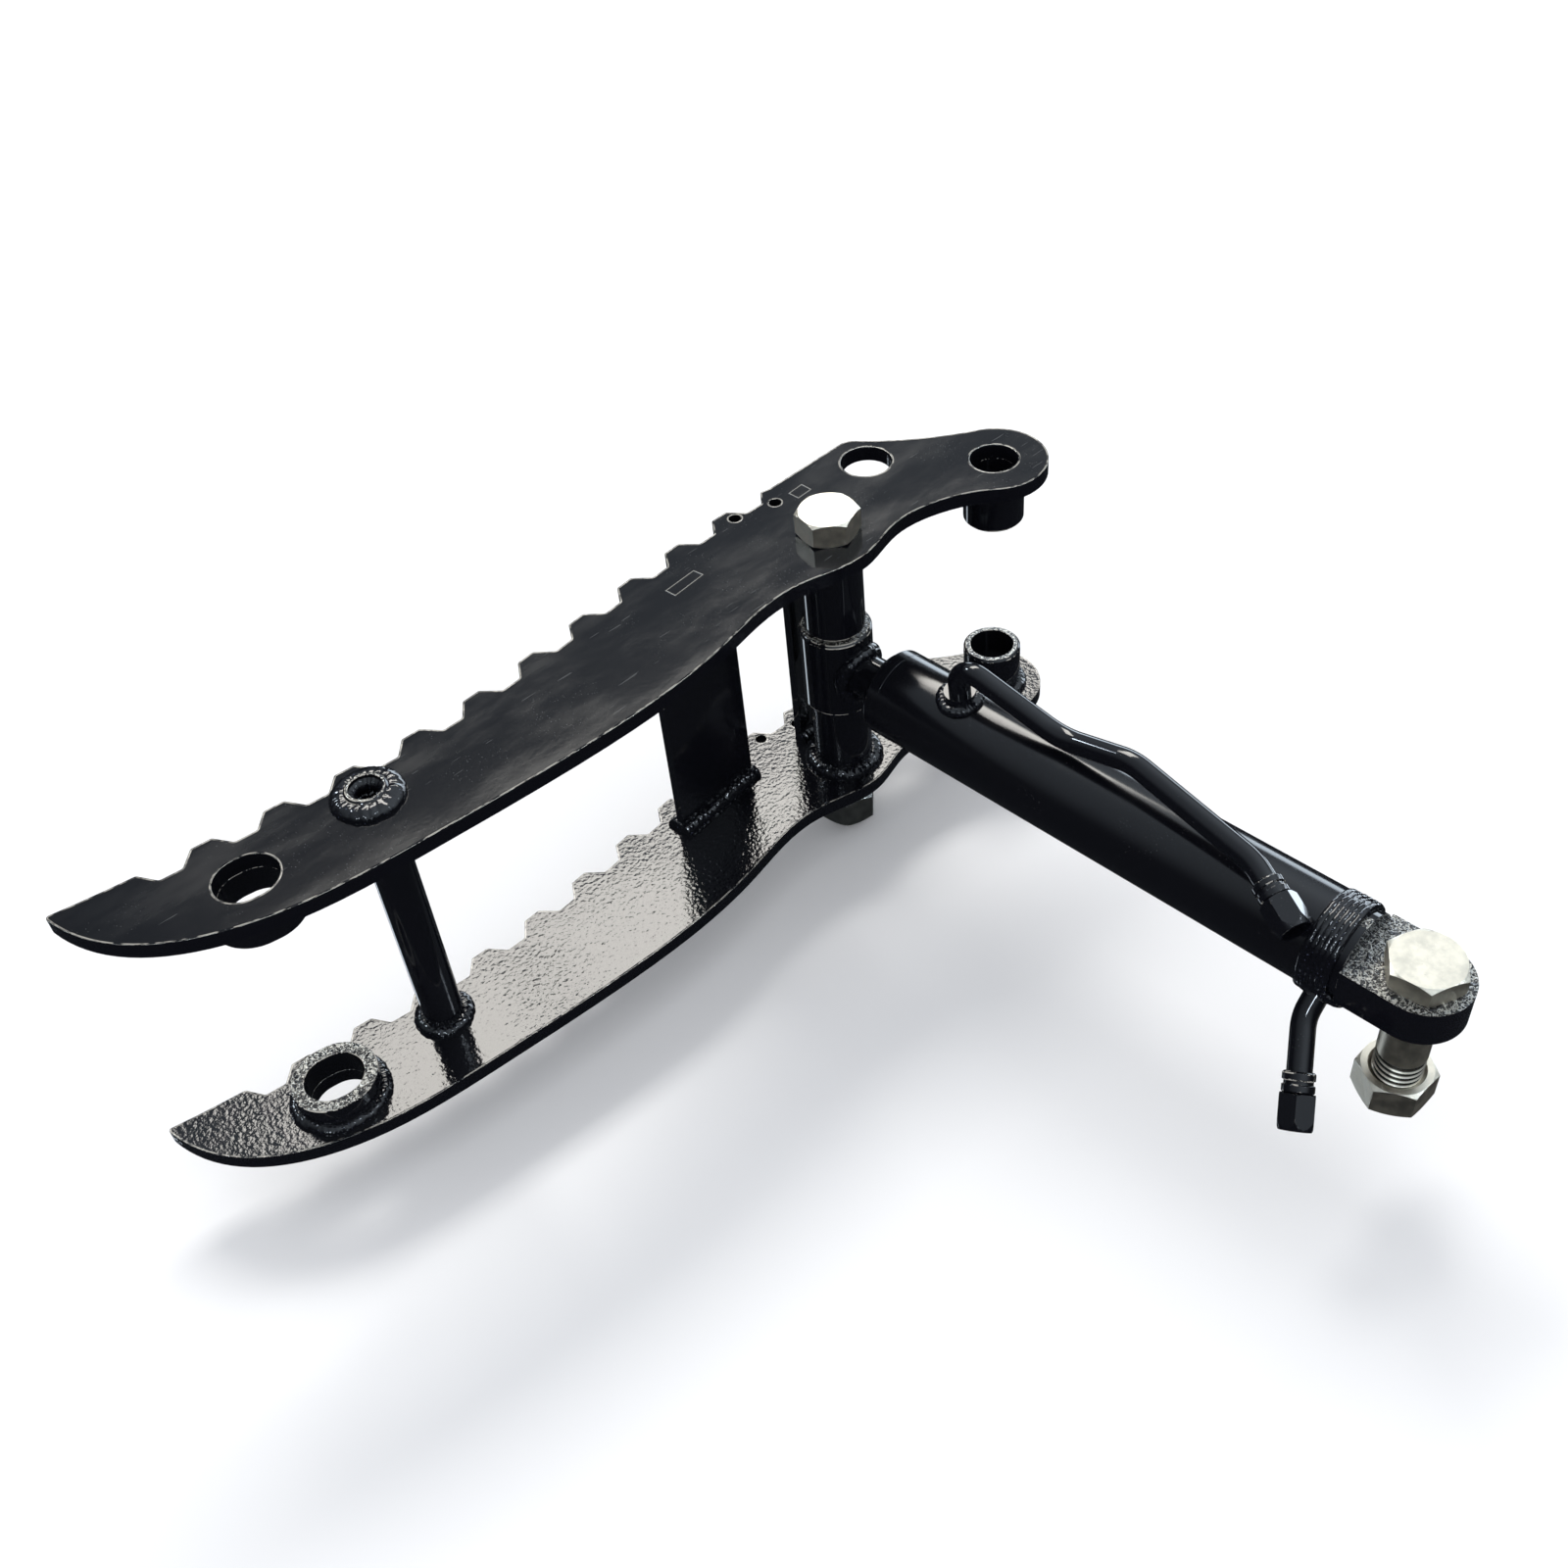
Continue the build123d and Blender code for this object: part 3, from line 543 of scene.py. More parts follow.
def weld_enamel(name):
    """Thick glossy paint over a lumpy weld, with small bluish specks that are painted glints."""
    paint = bpy.context.scene.thumb_paint
    tree, shader = new_material(name)
    fine = noise_at(tree, object_place(tree), 1100.0, detail=2.0)
    lumps = noise_at(tree, object_place(tree), 300.0, detail=1.0)
    # Painted glints: small bluish specks on the weld stand in for light caught by its lumps.
    glint_specks = step_between(tree, noise_at(tree, object_place(tree), 900.0, detail=1.0), 0.7, 0.76)
    colour = blend(tree, calc(tree, "MULTIPLY", glint_specks, 0.4), paint.colour, WELD_GLINT)
    tree.links.new(colour, shader.inputs["Base Color"])
    tree.links.new(calc(tree, "MULTIPLY_ADD", fine, 0.06, 0.03), shader.inputs["Roughness"])
    bump(tree, shader, calc(tree, "MULTIPLY_ADD", fine, 0.08, lumps), 0.35 * MM)


def from_axis(tree, axis):
    """The distance of a place from an upright axis."""
    place = add(tree, "ShaderNodeVectorMath", {0: object_place(tree), 1: (-axis.x, -axis.y, 0)}).outputs[0]
    level = add(tree, "ShaderNodeVectorMath", {0: place, 1: (1, 1, 0)}, operation="MULTIPLY").outputs[0]
    return add(tree, "ShaderNodeVectorMath", {0: level}, operation="LENGTH").outputs["Value"]


def zinc_plate(name, colour, rough, axis=None, radius=0.0, thread_top=0.0):
    """Dull zinc plate. On a bolt, the grooves of its thread are painted dark as shade."""
    tree, shader = new_material(name)
    look = group(tree, "zinc_grain", grain_size=1.2 * MM)
    base = blend(tree, look["Mottle"], [0.8 * part for part in colour], colour)
    base = blend(tree, calc(tree, "MULTIPLY", look["Pits"], 0.5), base, [0.45 * part for part in colour])
    if axis:
        height = add(tree, "ShaderNodeSeparateXYZ", {0: object_place(tree)}).outputs[2]
        # Painted shade: the thread's grooves, inside the shank's radius and below the thread's top, are
        # coloured near black.
        groove_shade = step_between(tree, from_axis(tree, axis), radius - 0.5 * MM, radius - 1.1 * MM)
        groove_shade = calc(tree, "MULTIPLY", groove_shade, calc(tree, "LESS_THAN", height, thread_top))
        base = blend(tree, groove_shade, base, THREAD_GROOVE_SHADE)
    edge = carried_mask(tree, "edge")
    base = blend(tree, calc(tree, "MULTIPLY", edge, 0.5), base, WORN_ZINC)
    tree.links.new(base, shader.inputs["Base Color"])
    tree.links.new(calc(tree, "MULTIPLY_ADD", look["Mottle"], 0.12, rough), shader.inputs["Roughness"])
    shader.inputs["Metallic"].default_value = 1.0
    bump(tree, shader, look["Height"], 0.05 * MM)


def bolt_zinc(name, bolt, axis, radius):
    """Zinc plate on a bolt whose thread reaches up from its lower end."""
    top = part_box(bolt + "_bolt")[0].z + getattr(bpy.context.scene.thumb_bolts, bolt + "_thread")
    zinc_plate(name, zinc_colour(), ZINC_ROUGHNESS, axis, radius, top)


def turned_steel(name, colour):
    """Bright machined steel with fine tool marks."""
    tree, shader = new_material(name)
    marks = noise_at(tree, object_place(tree, (60, 900, 60)), 1.0, detail=2.0)
    tree.links.new(blend(tree, marks, [0.7 * part for part in colour], colour), shader.inputs["Base Color"])
    tree.links.new(calc(tree, "MULTIPLY_ADD", marks, 0.15, 0.2), shader.inputs["Roughness"])
    shader.inputs["Metallic"].default_value = 1.0
    bump(tree, shader, marks, 0.02 * MM)


def painted_neck_rod(name):
    """The piston rod: black paint on its neck by the eye, chrome beyond it."""
    paint = bpy.context.scene.thumb_paint
    tree, shader = new_material(name)
    from_pivot = add(tree, "ShaderNodeVectorMath", {0: object_place(tree), 1: -ROD_PIVOT}).outputs[0]
    along = add(tree, "ShaderNodeVectorMath", {0: from_pivot, 1: CYLINDER_AXIS}, operation="DOT_PRODUCT")
    chrome = step_between(tree, along.outputs["Value"], PAINTED_NECK - NECK_BLEND, PAINTED_NECK)
    tree.links.new(blend(tree, chrome, paint.colour, CHROME), shader.inputs["Base Color"])
    tree.links.new(chrome, shader.inputs["Metallic"])
    shader.inputs["Roughness"].default_value = 0.1


def oiled_rubber(name):
    """Black rubber with a faint grain."""
    tree, shader = new_material(name)
    grain = noise_at(tree, object_place(tree), 800.0, detail=3.0)
    tree.links.new(blend(tree, grain, DARK_RUBBER, PALE_RUBBER), shader.inputs["Base Color"])
    tree.links.new(calc(tree, "MULTIPLY_ADD", grain, 0.25, 0.35), shader.inputs["Roughness"])
    bump(tree, shader, grain, 0.02 * MM)


def zinc_colour():
    return bpy.context.scene.thumb_bolts.zinc


def material(name):
    """The named finish, built the first time that a piece asks for it."""
    if name not in bpy.data.materials:
        FINISHES[name](name)
    return bpy.data.materials[name]


FINISHES = {
    "plate_enamel_upper": lambda name: plate_enamel(name, stamped=True),
    "plate_enamel_lower": lambda name: plate_enamel(name, stamped=False),
    "tube_enamel": lambda name: crinkle_enamel(name, 1.5 * MM, 0.3 * MM, bare=0.14, streaks=0.0),
    "brace_enamel": lambda name: gloss_enamel(name, peel=0.12, dusty=0.2),
    "cylinder_enamel": lambda name: gloss_enamel(name, peel=0.04, size=7.0 * MM, dusty=0.1, dull=0.08),
    "pipe_enamel": lambda name: gloss_enamel(name, peel=0.03, size=6.0 * MM),
    "fitting_enamel": lambda name: gloss_enamel(name, peel=0.04, wear=0.5),
    "crinkle_enamel": crinkle_enamel,
    "weld_enamel": weld_enamel,
    "pivot_bolt_zinc": lambda name: bolt_zinc(name, "pivot", ROD_PIVOT, PIVOT_BOLT_RADIUS),
    "base_bolt_zinc": lambda name: bolt_zinc(name, "base", BASE_PIVOT, BASE_BOLT_RADIUS),
    "base_nut_zinc": lambda name: zinc_plate(name, zinc_colour(), ZINC_ROUGHNESS),
    "pivot_nut_zinc": lambda name: zinc_plate(name, DULL_NUT, NUT_ROUGHNESS),
    "machined_steel": lambda name: turned_steel(name, STEEL),
    "chromed_rod": painted_neck_rod,
    "oiled_seal": oiled_rubber,
}


def dress(piece, finish):
    """Gives a piece one finish in place of any that it has."""
    piece.data.materials.clear()
    piece.data.materials.append(material(finish))


def keep_piece(mesh, name, body, nodes, finish=None):
    """Makes a mesh a piece that rides on a body and stands for its nodes."""
    piece = bpy.data.objects.new(name, mesh)
    bpy.context.scene.collection.objects.link(piece)
    if finish:
        dress(piece, finish)
    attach(piece, body)
    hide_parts(*nodes)


def merged_copy(node):
    """A node's mesh with its loose triangles joined and its flat faces made whole."""
    made = bmesh.new()
    made.from_mesh(frame["nodes"][node].data)
    for layer in list(made.loops.layers.uv.values()):
        made.loops.layers.uv.remove(layer)
    bmesh.ops.remove_doubles(made, verts=made.verts, dist=SAME_PLACE)
    bmesh.ops.dissolve_degenerate(made, dist=NO_LENGTH, edges=made.edges)
    bmesh.ops.dissolve_limit(made, angle_limit=radians(ONE_FACE_ANGLE), verts=made.verts, edges=made.edges)
    return made


def is_level(face):
    """Whether a face lies square to the pivot axes."""
    return abs(face.normal.z) > 0.99


def round_edges(made, width, sharper_than):
    """Marks the level faces in the flat attribute, rounds the edges and marks those in edge."""
    flat = made.faces.layers.float.new("flat")
    mark = made.faces.layers.float.new("edge")
    made.normal_update()
    for face in made.faces:
        face[flat] = float(is_level(face))
    sharp = [edge for edge in made.edges
             if edge.is_manifold and edge.calc_face_angle() > radians(sharper_than)]
    result = bmesh.ops.bevel(made, geom=sharp, offset=width, offset_type="OFFSET", segments=ROUNDING_STEPS,
                             profile=0.5, affect="EDGES", clamp_overlap=True)
    for face in result["faces"]:
        face[mark] = 1.0
        face[flat] = 0.0


def finished_mesh(made, name):
    """Turns a bmesh into a mesh, smooth across its soft edges, with flat faces kept flat."""
    bmesh.ops.recalc_face_normals(made, faces=made.faces)
    mesh = bpy.data.meshes.new(name)
    made.to_mesh(mesh)
    made.free()
    mesh.shade_smooth()
    mesh.set_sharp_from_angle(angle=radians(SMOOTH_BELOW))
    holder = bpy.data.objects.new(name + "_work", mesh)
    bpy.context.scene.collection.objects.link(holder)
    weights = holder.modifiers.new("weights", "WEIGHTED_NORMAL")
    weights.keep_sharp = True
    graph = bpy.context.evaluated_depsgraph_get()
    result = bpy.data.meshes.new_from_object(holder.evaluated_get(graph))
    bpy.data.objects.remove(holder)
    result.name = name
    return result


def rounded_piece(node, body, width, finish, sharper_than=SMALL_EDGE_ANGLE):
    """A piece that is its node's shape with rounded edges."""
    made = merged_copy(node)
    round_edges(made, width, sharper_than)
    keep_piece(finished_mesh(made, node + "_rounded"), node + "_rounded", body, [node], finish)


def geometry_tree(name, inputs):
    """An empty Geometry Nodes tree with named inputs, and its input and output nodes."""
    tree = bpy.data.node_groups.new(name, "GeometryNodeTree")
    tree.interface.new_socket("Geometry", in_out="INPUT", socket_type="NodeSocketGeometry")
    for key, (kind, default) in inputs.items():
        socket = tree.interface.new_socket(key, in_out="INPUT", socket_type="NodeSocket" + kind)
        if default is not None:
            socket.default_value = default
    tree.interface.new_socket("Geometry", in_out="OUTPUT", socket_type="NodeSocketGeometry")
    return tree, add(tree, "NodeGroupInput").outputs, add(tree, "NodeGroupOutput").inputs


def close_tree(tree, geometry, finish, out):
    """Ends a Geometry Nodes tree with real, smooth and dressed geometry."""
    smooth = add(tree, "GeometryNodeSetShadeSmooth", {"Geometry": geometry}).outputs[0]
    real = add(tree, "GeometryNodeRealizeInstances", {"Geometry": smooth}).outputs[0]
    dressed = add(tree, "GeometryNodeSetMaterial", {"Geometry": real, "Material": finish}).outputs[0]
    tree.links.new(dressed, out["Geometry"])


def seeded_noise(tree, seed, scale, detail):
    """A noise pattern through a mesh that differs with the seed."""
    made = add(tree, "ShaderNodeTexNoise", {"W": seed, "Scale": scale, "Detail": detail},
               noise_dimensions="4D")
    return made.outputs["Fac"]


def build_weld_tree():
    """A weld bead along a path: an oval section, ripples one after another, and lumps."""
    tree, given, out = geometry_tree("weld_bead", {
        "Width": ("Float", 5 * MM), "Height": ("Float", 5 * MM),
        "Ripple pitch": ("Float", 3.6 * MM), "Ripple height": ("Float", 0.5 * MM),
        "Lump size": ("Float", 6.5 * MM), "Lump height": ("Float", 1.9 * MM),
        "Seed": ("Float", 0.0), "Finish": ("Material", None)})
    path = add(tree, "GeometryNodeMeshToCurve", {"Mesh": given["Geometry"]}).outputs[0]
    step = calc(tree, "DIVIDE", given["Ripple pitch"], 6.0)
    path = add(tree, "GeometryNodeResampleCurve", {"Curve": path, "Length": step}, mode="LENGTH").outputs[0]
    path = add(tree, "GeometryNodeSetCurveNormal", {"Curve": path}, mode="Z_UP").outputs[0]
    along = add(tree, "GeometryNodeSplineParameter").outputs["Length"]
    path = add(tree, "GeometryNodeStoreNamedAttribute", {"Geometry": path, "Name": "along", "Value": along},
               data_type="FLOAT", domain="POINT").outputs[0]
    section = add(tree, "GeometryNodeCurvePrimitiveCircle", {"Resolution": 30, "Radius": 1.0}).outputs[0]
    size = add(tree, "ShaderNodeCombineXYZ", {0: given["Width"], 1: given["Height"], 2: 1.0}).outputs[0]
    section = add(tree, "GeometryNodeTransform", {"Geometry": section, "Scale": size}).outputs[0]
    bead = add(tree, "GeometryNodeCurveToMesh",
               {"Curve": path, "Profile Curve": section, "Fill Caps": True}).outputs[0]
    gone = add(tree, "GeometryNodeInputNamedAttribute", {"Name": "along"}, data_type="FLOAT").outputs[0]
    wobble = seeded_noise(tree, given["Seed"], 160.0, detail=1.0)
    turns = calc(tree, "ADD", calc(tree, "DIVIDE", gone, given["Ripple pitch"]), wobble)
    part = calc(tree, "MULTIPLY_ADD", calc(tree, "FRACT", turns), 2.0, -1.0)
    ripple = calc(tree, "SQRT", calc(tree, "SUBTRACT", 1.0, calc(tree, "MULTIPLY", part, part)))
    ripple = calc(tree, "MULTIPLY", ripple, given["Ripple height"])
    scale = calc(tree, "DIVIDE", 1.0, given["Lump size"])
    lumps = seeded_noise(tree, given["Seed"], scale, detail=2.0)
    lumps = calc(tree, "MULTIPLY", calc(tree, "SUBTRACT", lumps, 0.5), given["Lump height"])
    grains = seeded_noise(tree, given["Seed"], calc(tree, "MULTIPLY", scale, 3.0), detail=1.0)
    grains = calc(tree, "MULTIPLY", calc(tree, "SUBTRACT", grains, 0.5),
                  calc(tree, "MULTIPLY", given["Lump height"], 0.18))
    rise = calc(tree, "ADD", ripple, calc(tree, "ADD", lumps, grains))
    push = add(tree, "ShaderNodeVectorMath", {0: add(tree, "GeometryNodeInputNormal").outputs[0]},
               operation="SCALE")
    tree.links.new(rise, push.inputs["Scale"])
    bead = add(tree, "GeometryNodeSetPosition", {"Geometry": bead, "Offset": push.outputs[0]}).outputs[0]
    close_tree(tree, bead, given["Finish"], out)


def build_thread_tree():
    """A screw thread: one sharp ridge wound round the Z axis."""
    tree, given, out = geometry_tree("screw_thread", {
        "Radius": ("Float", 12 * MM), "Pitch": ("Float", 3 * MM), "Length": ("Float", 30 * MM),
        "Finish": ("Material", None)})
    turns = calc(tree, "DIVIDE", given["Length"], given["Pitch"])
    inward = calc(tree, "SUBTRACT", given["Radius"], calc(tree, "MULTIPLY", given["Pitch"], THREAD_INSET))
    spiral = add(tree, "GeometryNodeCurveSpiral",
                 {"Resolution": 36, "Rotations": turns, "Start Radius": inward, "End Radius": inward,
                  "Height": given["Length"]}).outputs[0]
    spiral = add(tree, "GeometryNodeSetCurveNormal", {"Curve": spiral}, mode="Z_UP").outputs[0]
    half_width = calc(tree, "MULTIPLY", given["Pitch"], THREAD_HALF_WIDTH)
    section = add(tree, "GeometryNodeCurvePrimitiveCircle",
                  {"Resolution": 4, "Radius": half_width}).outputs[0]
    ridge = add(tree, "GeometryNodeCurveToMesh",
                {"Curve": spiral, "Profile Curve": section, "Fill Caps": True}).outputs[0]
    close_tree(tree, ridge, given["Finish"], out)


def grown(tree_name, mesh, name, **values):
    """Runs a Geometry Nodes tree on a mesh and gives back the plain mesh that it makes."""
    holder = bpy.data.objects.new(name + "_path", mesh)
    bpy.context.scene.collection.objects.link(holder)
    modifier = holder.modifiers.new("tree", "NODES")
    tree = bpy.data.node_groups[tree_name]
    sockets = {item.name: item.identifier for item in tree.interface.items_tree
               if item.in_out == "INPUT"}
    modifier.node_group = tree
    for key, value in values.items():
        modifier[sockets[key.replace("_", " ").capitalize()]] = value
    graph = bpy.context.evaluated_depsgraph_get()
    made = bpy.data.meshes.new_from_object(holder.evaluated_get(graph))
    bpy.data.objects.remove(holder)
    made.name = name
    return made


def path_mesh(points, closed):
    """A mesh of edges only, for a tree to follow."""
    mesh = bpy.data.meshes.new("path")
    count = len(points)
    edges = [(i, (i + 1) % count) for i in range(count if closed else count - 1)]
    mesh.from_pydata([tuple(point) for point in points], edges, [])
    return mesh


def ring(radius, steps=96):
    """Points on a circle round the Z axis."""
    turns = [2 * pi * i / steps for i in range(steps)]
    return [Vector((radius * cos(turn), radius * sin(turn), 0.0)) for turn in turns]


def saddle(radius, carrier):
    """A ring round a tube that stands on a larger cylinder, whose axis is X."""
    return [Vector((p.x, p.y, sqrt(carrier ** 2 - p.y ** 2))) for p in ring(radius)]


def axes_place(origin, up, side):
    """A placing matrix with Z along up and X as near side as it can be."""
    up = Vector(up).normalized()
    across = up.cross(Vector(side)).normalized()
    forward = across.cross(up)
    return Matrix.Translation(origin) @ Matrix((forward, across, up)).transposed().to_4x4()


def beads(name, body, nodes, runs, seed):
    """One piece of weld beads. Each run is (points, closed, half width, half height, pitch, place)."""
    welds = bpy.context.scene.thumb_welds
    joined = bmesh.new()
    for index, (points, closed, width, height, pitch, place) in enumerate(runs):
        lump = min(1.0, width / LUMPY_WIDTH, height / LUMPY_HEIGHT)
        made = grown("weld_bead", path_mesh(points, closed), name, width=width, height=height,
                     ripple_pitch=pitch or welds.ripple_pitch,
                     ripple_height=min(welds.ripple_height, HIGHEST_RIPPLE * width),
                     lump_size=welds.lump_size, lump_height=welds.lump_height * lump,
                     seed=seed + SEED_STEP * index, finish=material("weld_enamel"))
        made.transform(place)
        joined.from_mesh(made)
        bpy.data.meshes.remove(made)
    bmesh.ops.recalc_face_normals(joined, faces=joined.faces)
    mesh = bpy.data.meshes.new(name)
    joined.to_mesh(mesh)
    joined.free()
    mesh.shade_smooth()
    keep_piece(mesh, name, body, nodes, finish="weld_enamel")


def at(x, y, z, turn=0.0):
    """A placing matrix: turned about the Z axis by an angle in degrees, then moved."""
    return Matrix.Translation((x, y, z)) @ Matrix.Rotation(radians(turn), 4, "Z")


def raise_lip(made, width):
    """Marks a lip of thick paint along the outlines of the level faces in the lip attribute, which also
    places the painted highlight line on the plates' rims.
    """
    lip = made.verts.layers.float.new("lip")
    edge = made.faces.layers.float["edge"]
    flats = [face for face in made.faces if is_level(face) and face[edge] == 0]
    for vert in made.verts:
        vert[lip] = 1.0
    bmesh.ops.inset_region(made, faces=flats, thickness=width, use_even_offset=True)
    for face in flats:
        for vert in face.verts:
            vert[lip] = 0.0


class THUMB_OT_plates(bpy.types.Operator):
    """Rounds and paints the two toothed side plates"""
    bl_idname = "thumb.plates"
    bl_label = "Side plates"

    def execute(self, context):
        width = context.scene.thumb_paint.edge_rounding
        for side in ("upper", "lower"):
            made = merged_copy("side_plate_" + side)
            round_edges(made, width, PLATE_EDGE_ANGLE)
            made.normal_update()
            raise_lip(made, width)
            name = "side_plate_" + side + "_rounded"
            keep_piece(finished_mesh(made, name), name, "frame", ["side_plate_" + side],
                       finish="plate_enamel_" + side)
        return {"FINISHED"}


class THUMB_OT_spreaders(bpy.types.Operator):
    """Rounds and paints the tubes, bosses, bushes and braces between the plates"""
    bl_idname = "thumb.spreaders"
    bl_label = "Tubes, bosses and braces"

    def execute(self, context):
        width = context.scene.thumb_paint.small_rounding
        finishes = {
            "tip_boss_upper": "crinkle_enamel", "tip_boss_lower": "crinkle_enamel",
            "tip_cross_tube": "tube_enamel", "main_bush_upper": "tube_enamel",
            "main_bush_lower": "tube_enamel", "rod_spacer_upper": "tube_enamel",
            "rod_spacer_lower": "tube_enamel", "middle_brace": "brace_enamel",
            "pivot_brace": "brace_enamel"}
        for node, finish in finishes.items():
            rounded_piece(node, "frame", width, finish)
        return {"FINISHED"}


class THUMB_OT_cylinder(bpy.types.Operator):
    """Rounds and paints the hydraulic cylinder, its pipes and its fittings"""
    bl_idname = "thumb.cylinder"
    bl_label = "Hydraulic cylinder"

    def execute(self, context):
        width = context.scene.thumb_paint.small_rounding
        rounded_piece("rod_eye", "rod", width, "tube_enamel")
        for node in ("gland_head", "cylinder_barrel"):
            rounded_piece(node, "barrel", width, "cylinder_enamel")
        rounded_piece("base_eye", "barrel", width, "crinkle_enamel")
        for port in ("rod_port", "base_port"):
            for fitting in ("_boss", "_collar", "_union_nut"):
                rounded_piece(port + fitting, "barrel", width, "fitting_enamel")
            dress(frame["nodes"][port + "_pipe"], "pipe_enamel")
        dress(frame["nodes"]["piston_rod"], "chromed_rod")
        for node in ("piston", "piston_nut"):
            dress(frame["nodes"][node], "machined_steel")
        for node in ("piston_seal", "piston_wear_rings", "rod_wiper", "rod_seal", "gland_o_ring"):
            dress(frame["nodes"][node], "oiled_seal")
        return {"FINISHED"}


class THUMB_OT_welds(bpy.types.Operator):
    """Lays the weld beads that join the pieces"""
    bl_idname = "thumb.welds"
    bl_label = "Welds"

    def execute(self, context):
        build_weld_tree()
        bush = box_size("main_bush_upper").x / 2
        beads("bush_weld_beads", "frame", ["weld_main_bushes"],
              [(ring(bush), True, *BUSH_BEAD, at(0, 0, z)) for z in INNER_FACES], 3.0)
        boss, size = box_middle("tip_boss_upper"), box_size("tip_boss_upper")
        reach = (size.x - size.y) / 2
        points = [Vector((p.x + (reach if p.x > 0 else -reach), p.y, 0)) for p in ring(size.y / 2)]
        bosses = []
        for z in INNER_FACES:
            bosses.append((points, True, *BOSS_BEAD, at(boss.x, boss.y, z, TIP_BOSS_TURN)))
        beads("boss_weld_beads", "frame", ["weld_tip_bosses"], bosses, 11.0)
        tube = box_middle("tip_cross_tube")
        radius = box_size("tip_cross_tube").x / 2
        runs = []
        for z, outer in zip(INNER_FACES, (OUTER_FACE, -OUTER_FACE)):
            runs.append((ring(radius + 1.2 * MM), True, *TUBE_OUTER_BEAD, at(tube.x, tube.y, outer)))
            runs.append((ring(radius + 0.6 * MM), True, *TUBE_INNER_BEAD, at(tube.x, tube.y, z)))
        beads("cross_tube_weld_beads", "frame", ["weld_cross_tube"], runs, 23.0)
        spacer = box_middle("rod_spacer_upper")
        radius = box_size("rod_spacer_upper").x / 2
        beads("spacer_weld_beads", "frame", ["weld_rod_spacers"],
              [(ring(radius + 0.5 * MM), True, *SPACER_BEAD, at(spacer.x, spacer.y, z))
               for z in INNER_FACES], 31.0)
        self.lay_brace_beads("middle_brace", MIDDLE_BRACE_BEAD, (1, -1), 41.0)
        self.lay_brace_beads("pivot_brace", PIVOT_BRACE_BEAD, (1,), 53.0)
        self.lay_cylinder_beads()
        return {"FINISHED"}

    def lay_brace_beads(self, brace, bead, sides, seed):
        """Beads along the foot of a brace, whose width and thickness follow from its turned box."""
        middle, size = box_middle(brace), box_size(brace)
        turn = radians(BRACE_TURN)
        width = (size.x * cos(turn) - size.y * sin(turn)) / cos(2 * turn)
        thickness = (size.y * cos(turn) - size.x * sin(turn)) / cos(2 * turn)
        runs = []
        for z in INNER_FACES:
            for side in sides:
                place = at(middle.x, middle.y, z, BRACE_TURN)
                y = side * thickness / 2
                points = [Vector((-width / 2 - 1 * MM, y, 0)), Vector((width / 2 + 1 * MM, y, 0))]
                runs.append((points, False, *bead, place))
        beads(brace + "_weld_beads", "frame", ["weld_" + brace], runs, seed)

    def lay_cylinder_beads(self):
        """Beads at the rod's eye, at the end cap and round both port bosses."""
        eye = box_size("rod_eye").x / 2
        rod = box_size("piston_rod").z / 2
        barrel = box_size("cylinder_barrel").z / 2
        cap = box_size("base_eye").z / 2
        place = axes_place(ROD_PIVOT, CYLINDER_AXIS, (0, 0, 1))
        beads("rod_eye_weld_bead", "rod", ["weld_rod_eye"],
              [(saddle(rod + 0.5 * MM, eye), True, *ROD_EYE_BEAD, place)], 61.0)
        ridges = []
        for ridge in range(BASE_RIDGE_COUNT):
            along = station("weld_base_eye") + (ridge - (BASE_RIDGE_COUNT - 1) / 2) * BASE_RIDGE_STEP
            place = axes_place(ROD_PIVOT + CYLINDER_AXIS * along, CYLINDER_AXIS, (0, 0, 1))
            ridges.append((ring(barrel - 0.8 * MM), True, *BASE_RIDGE_BEAD, place))
        beads("base_weld_bead", "barrel", ["weld_base_eye"], ridges, 71.0)
        for port, carrier in (("rod_port", barrel), ("base_port", cap)):
            foot = ROD_PIVOT + CYLINDER_AXIS * station(port + "_boss")
            out = box_middle(port + "_boss") - foot
            out -= CYLINDER_AXIS * out.dot(CYLINDER_AXIS)
            place = axes_place(foot, out, CYLINDER_AXIS)
            beads(port + "_weld_bead", "barrel", ["weld_" + port],
                  [(saddle(PORT_BEAD_RADIUS, carrier + 1 * MM), True, *PORT_BEAD, place)], 83.0)


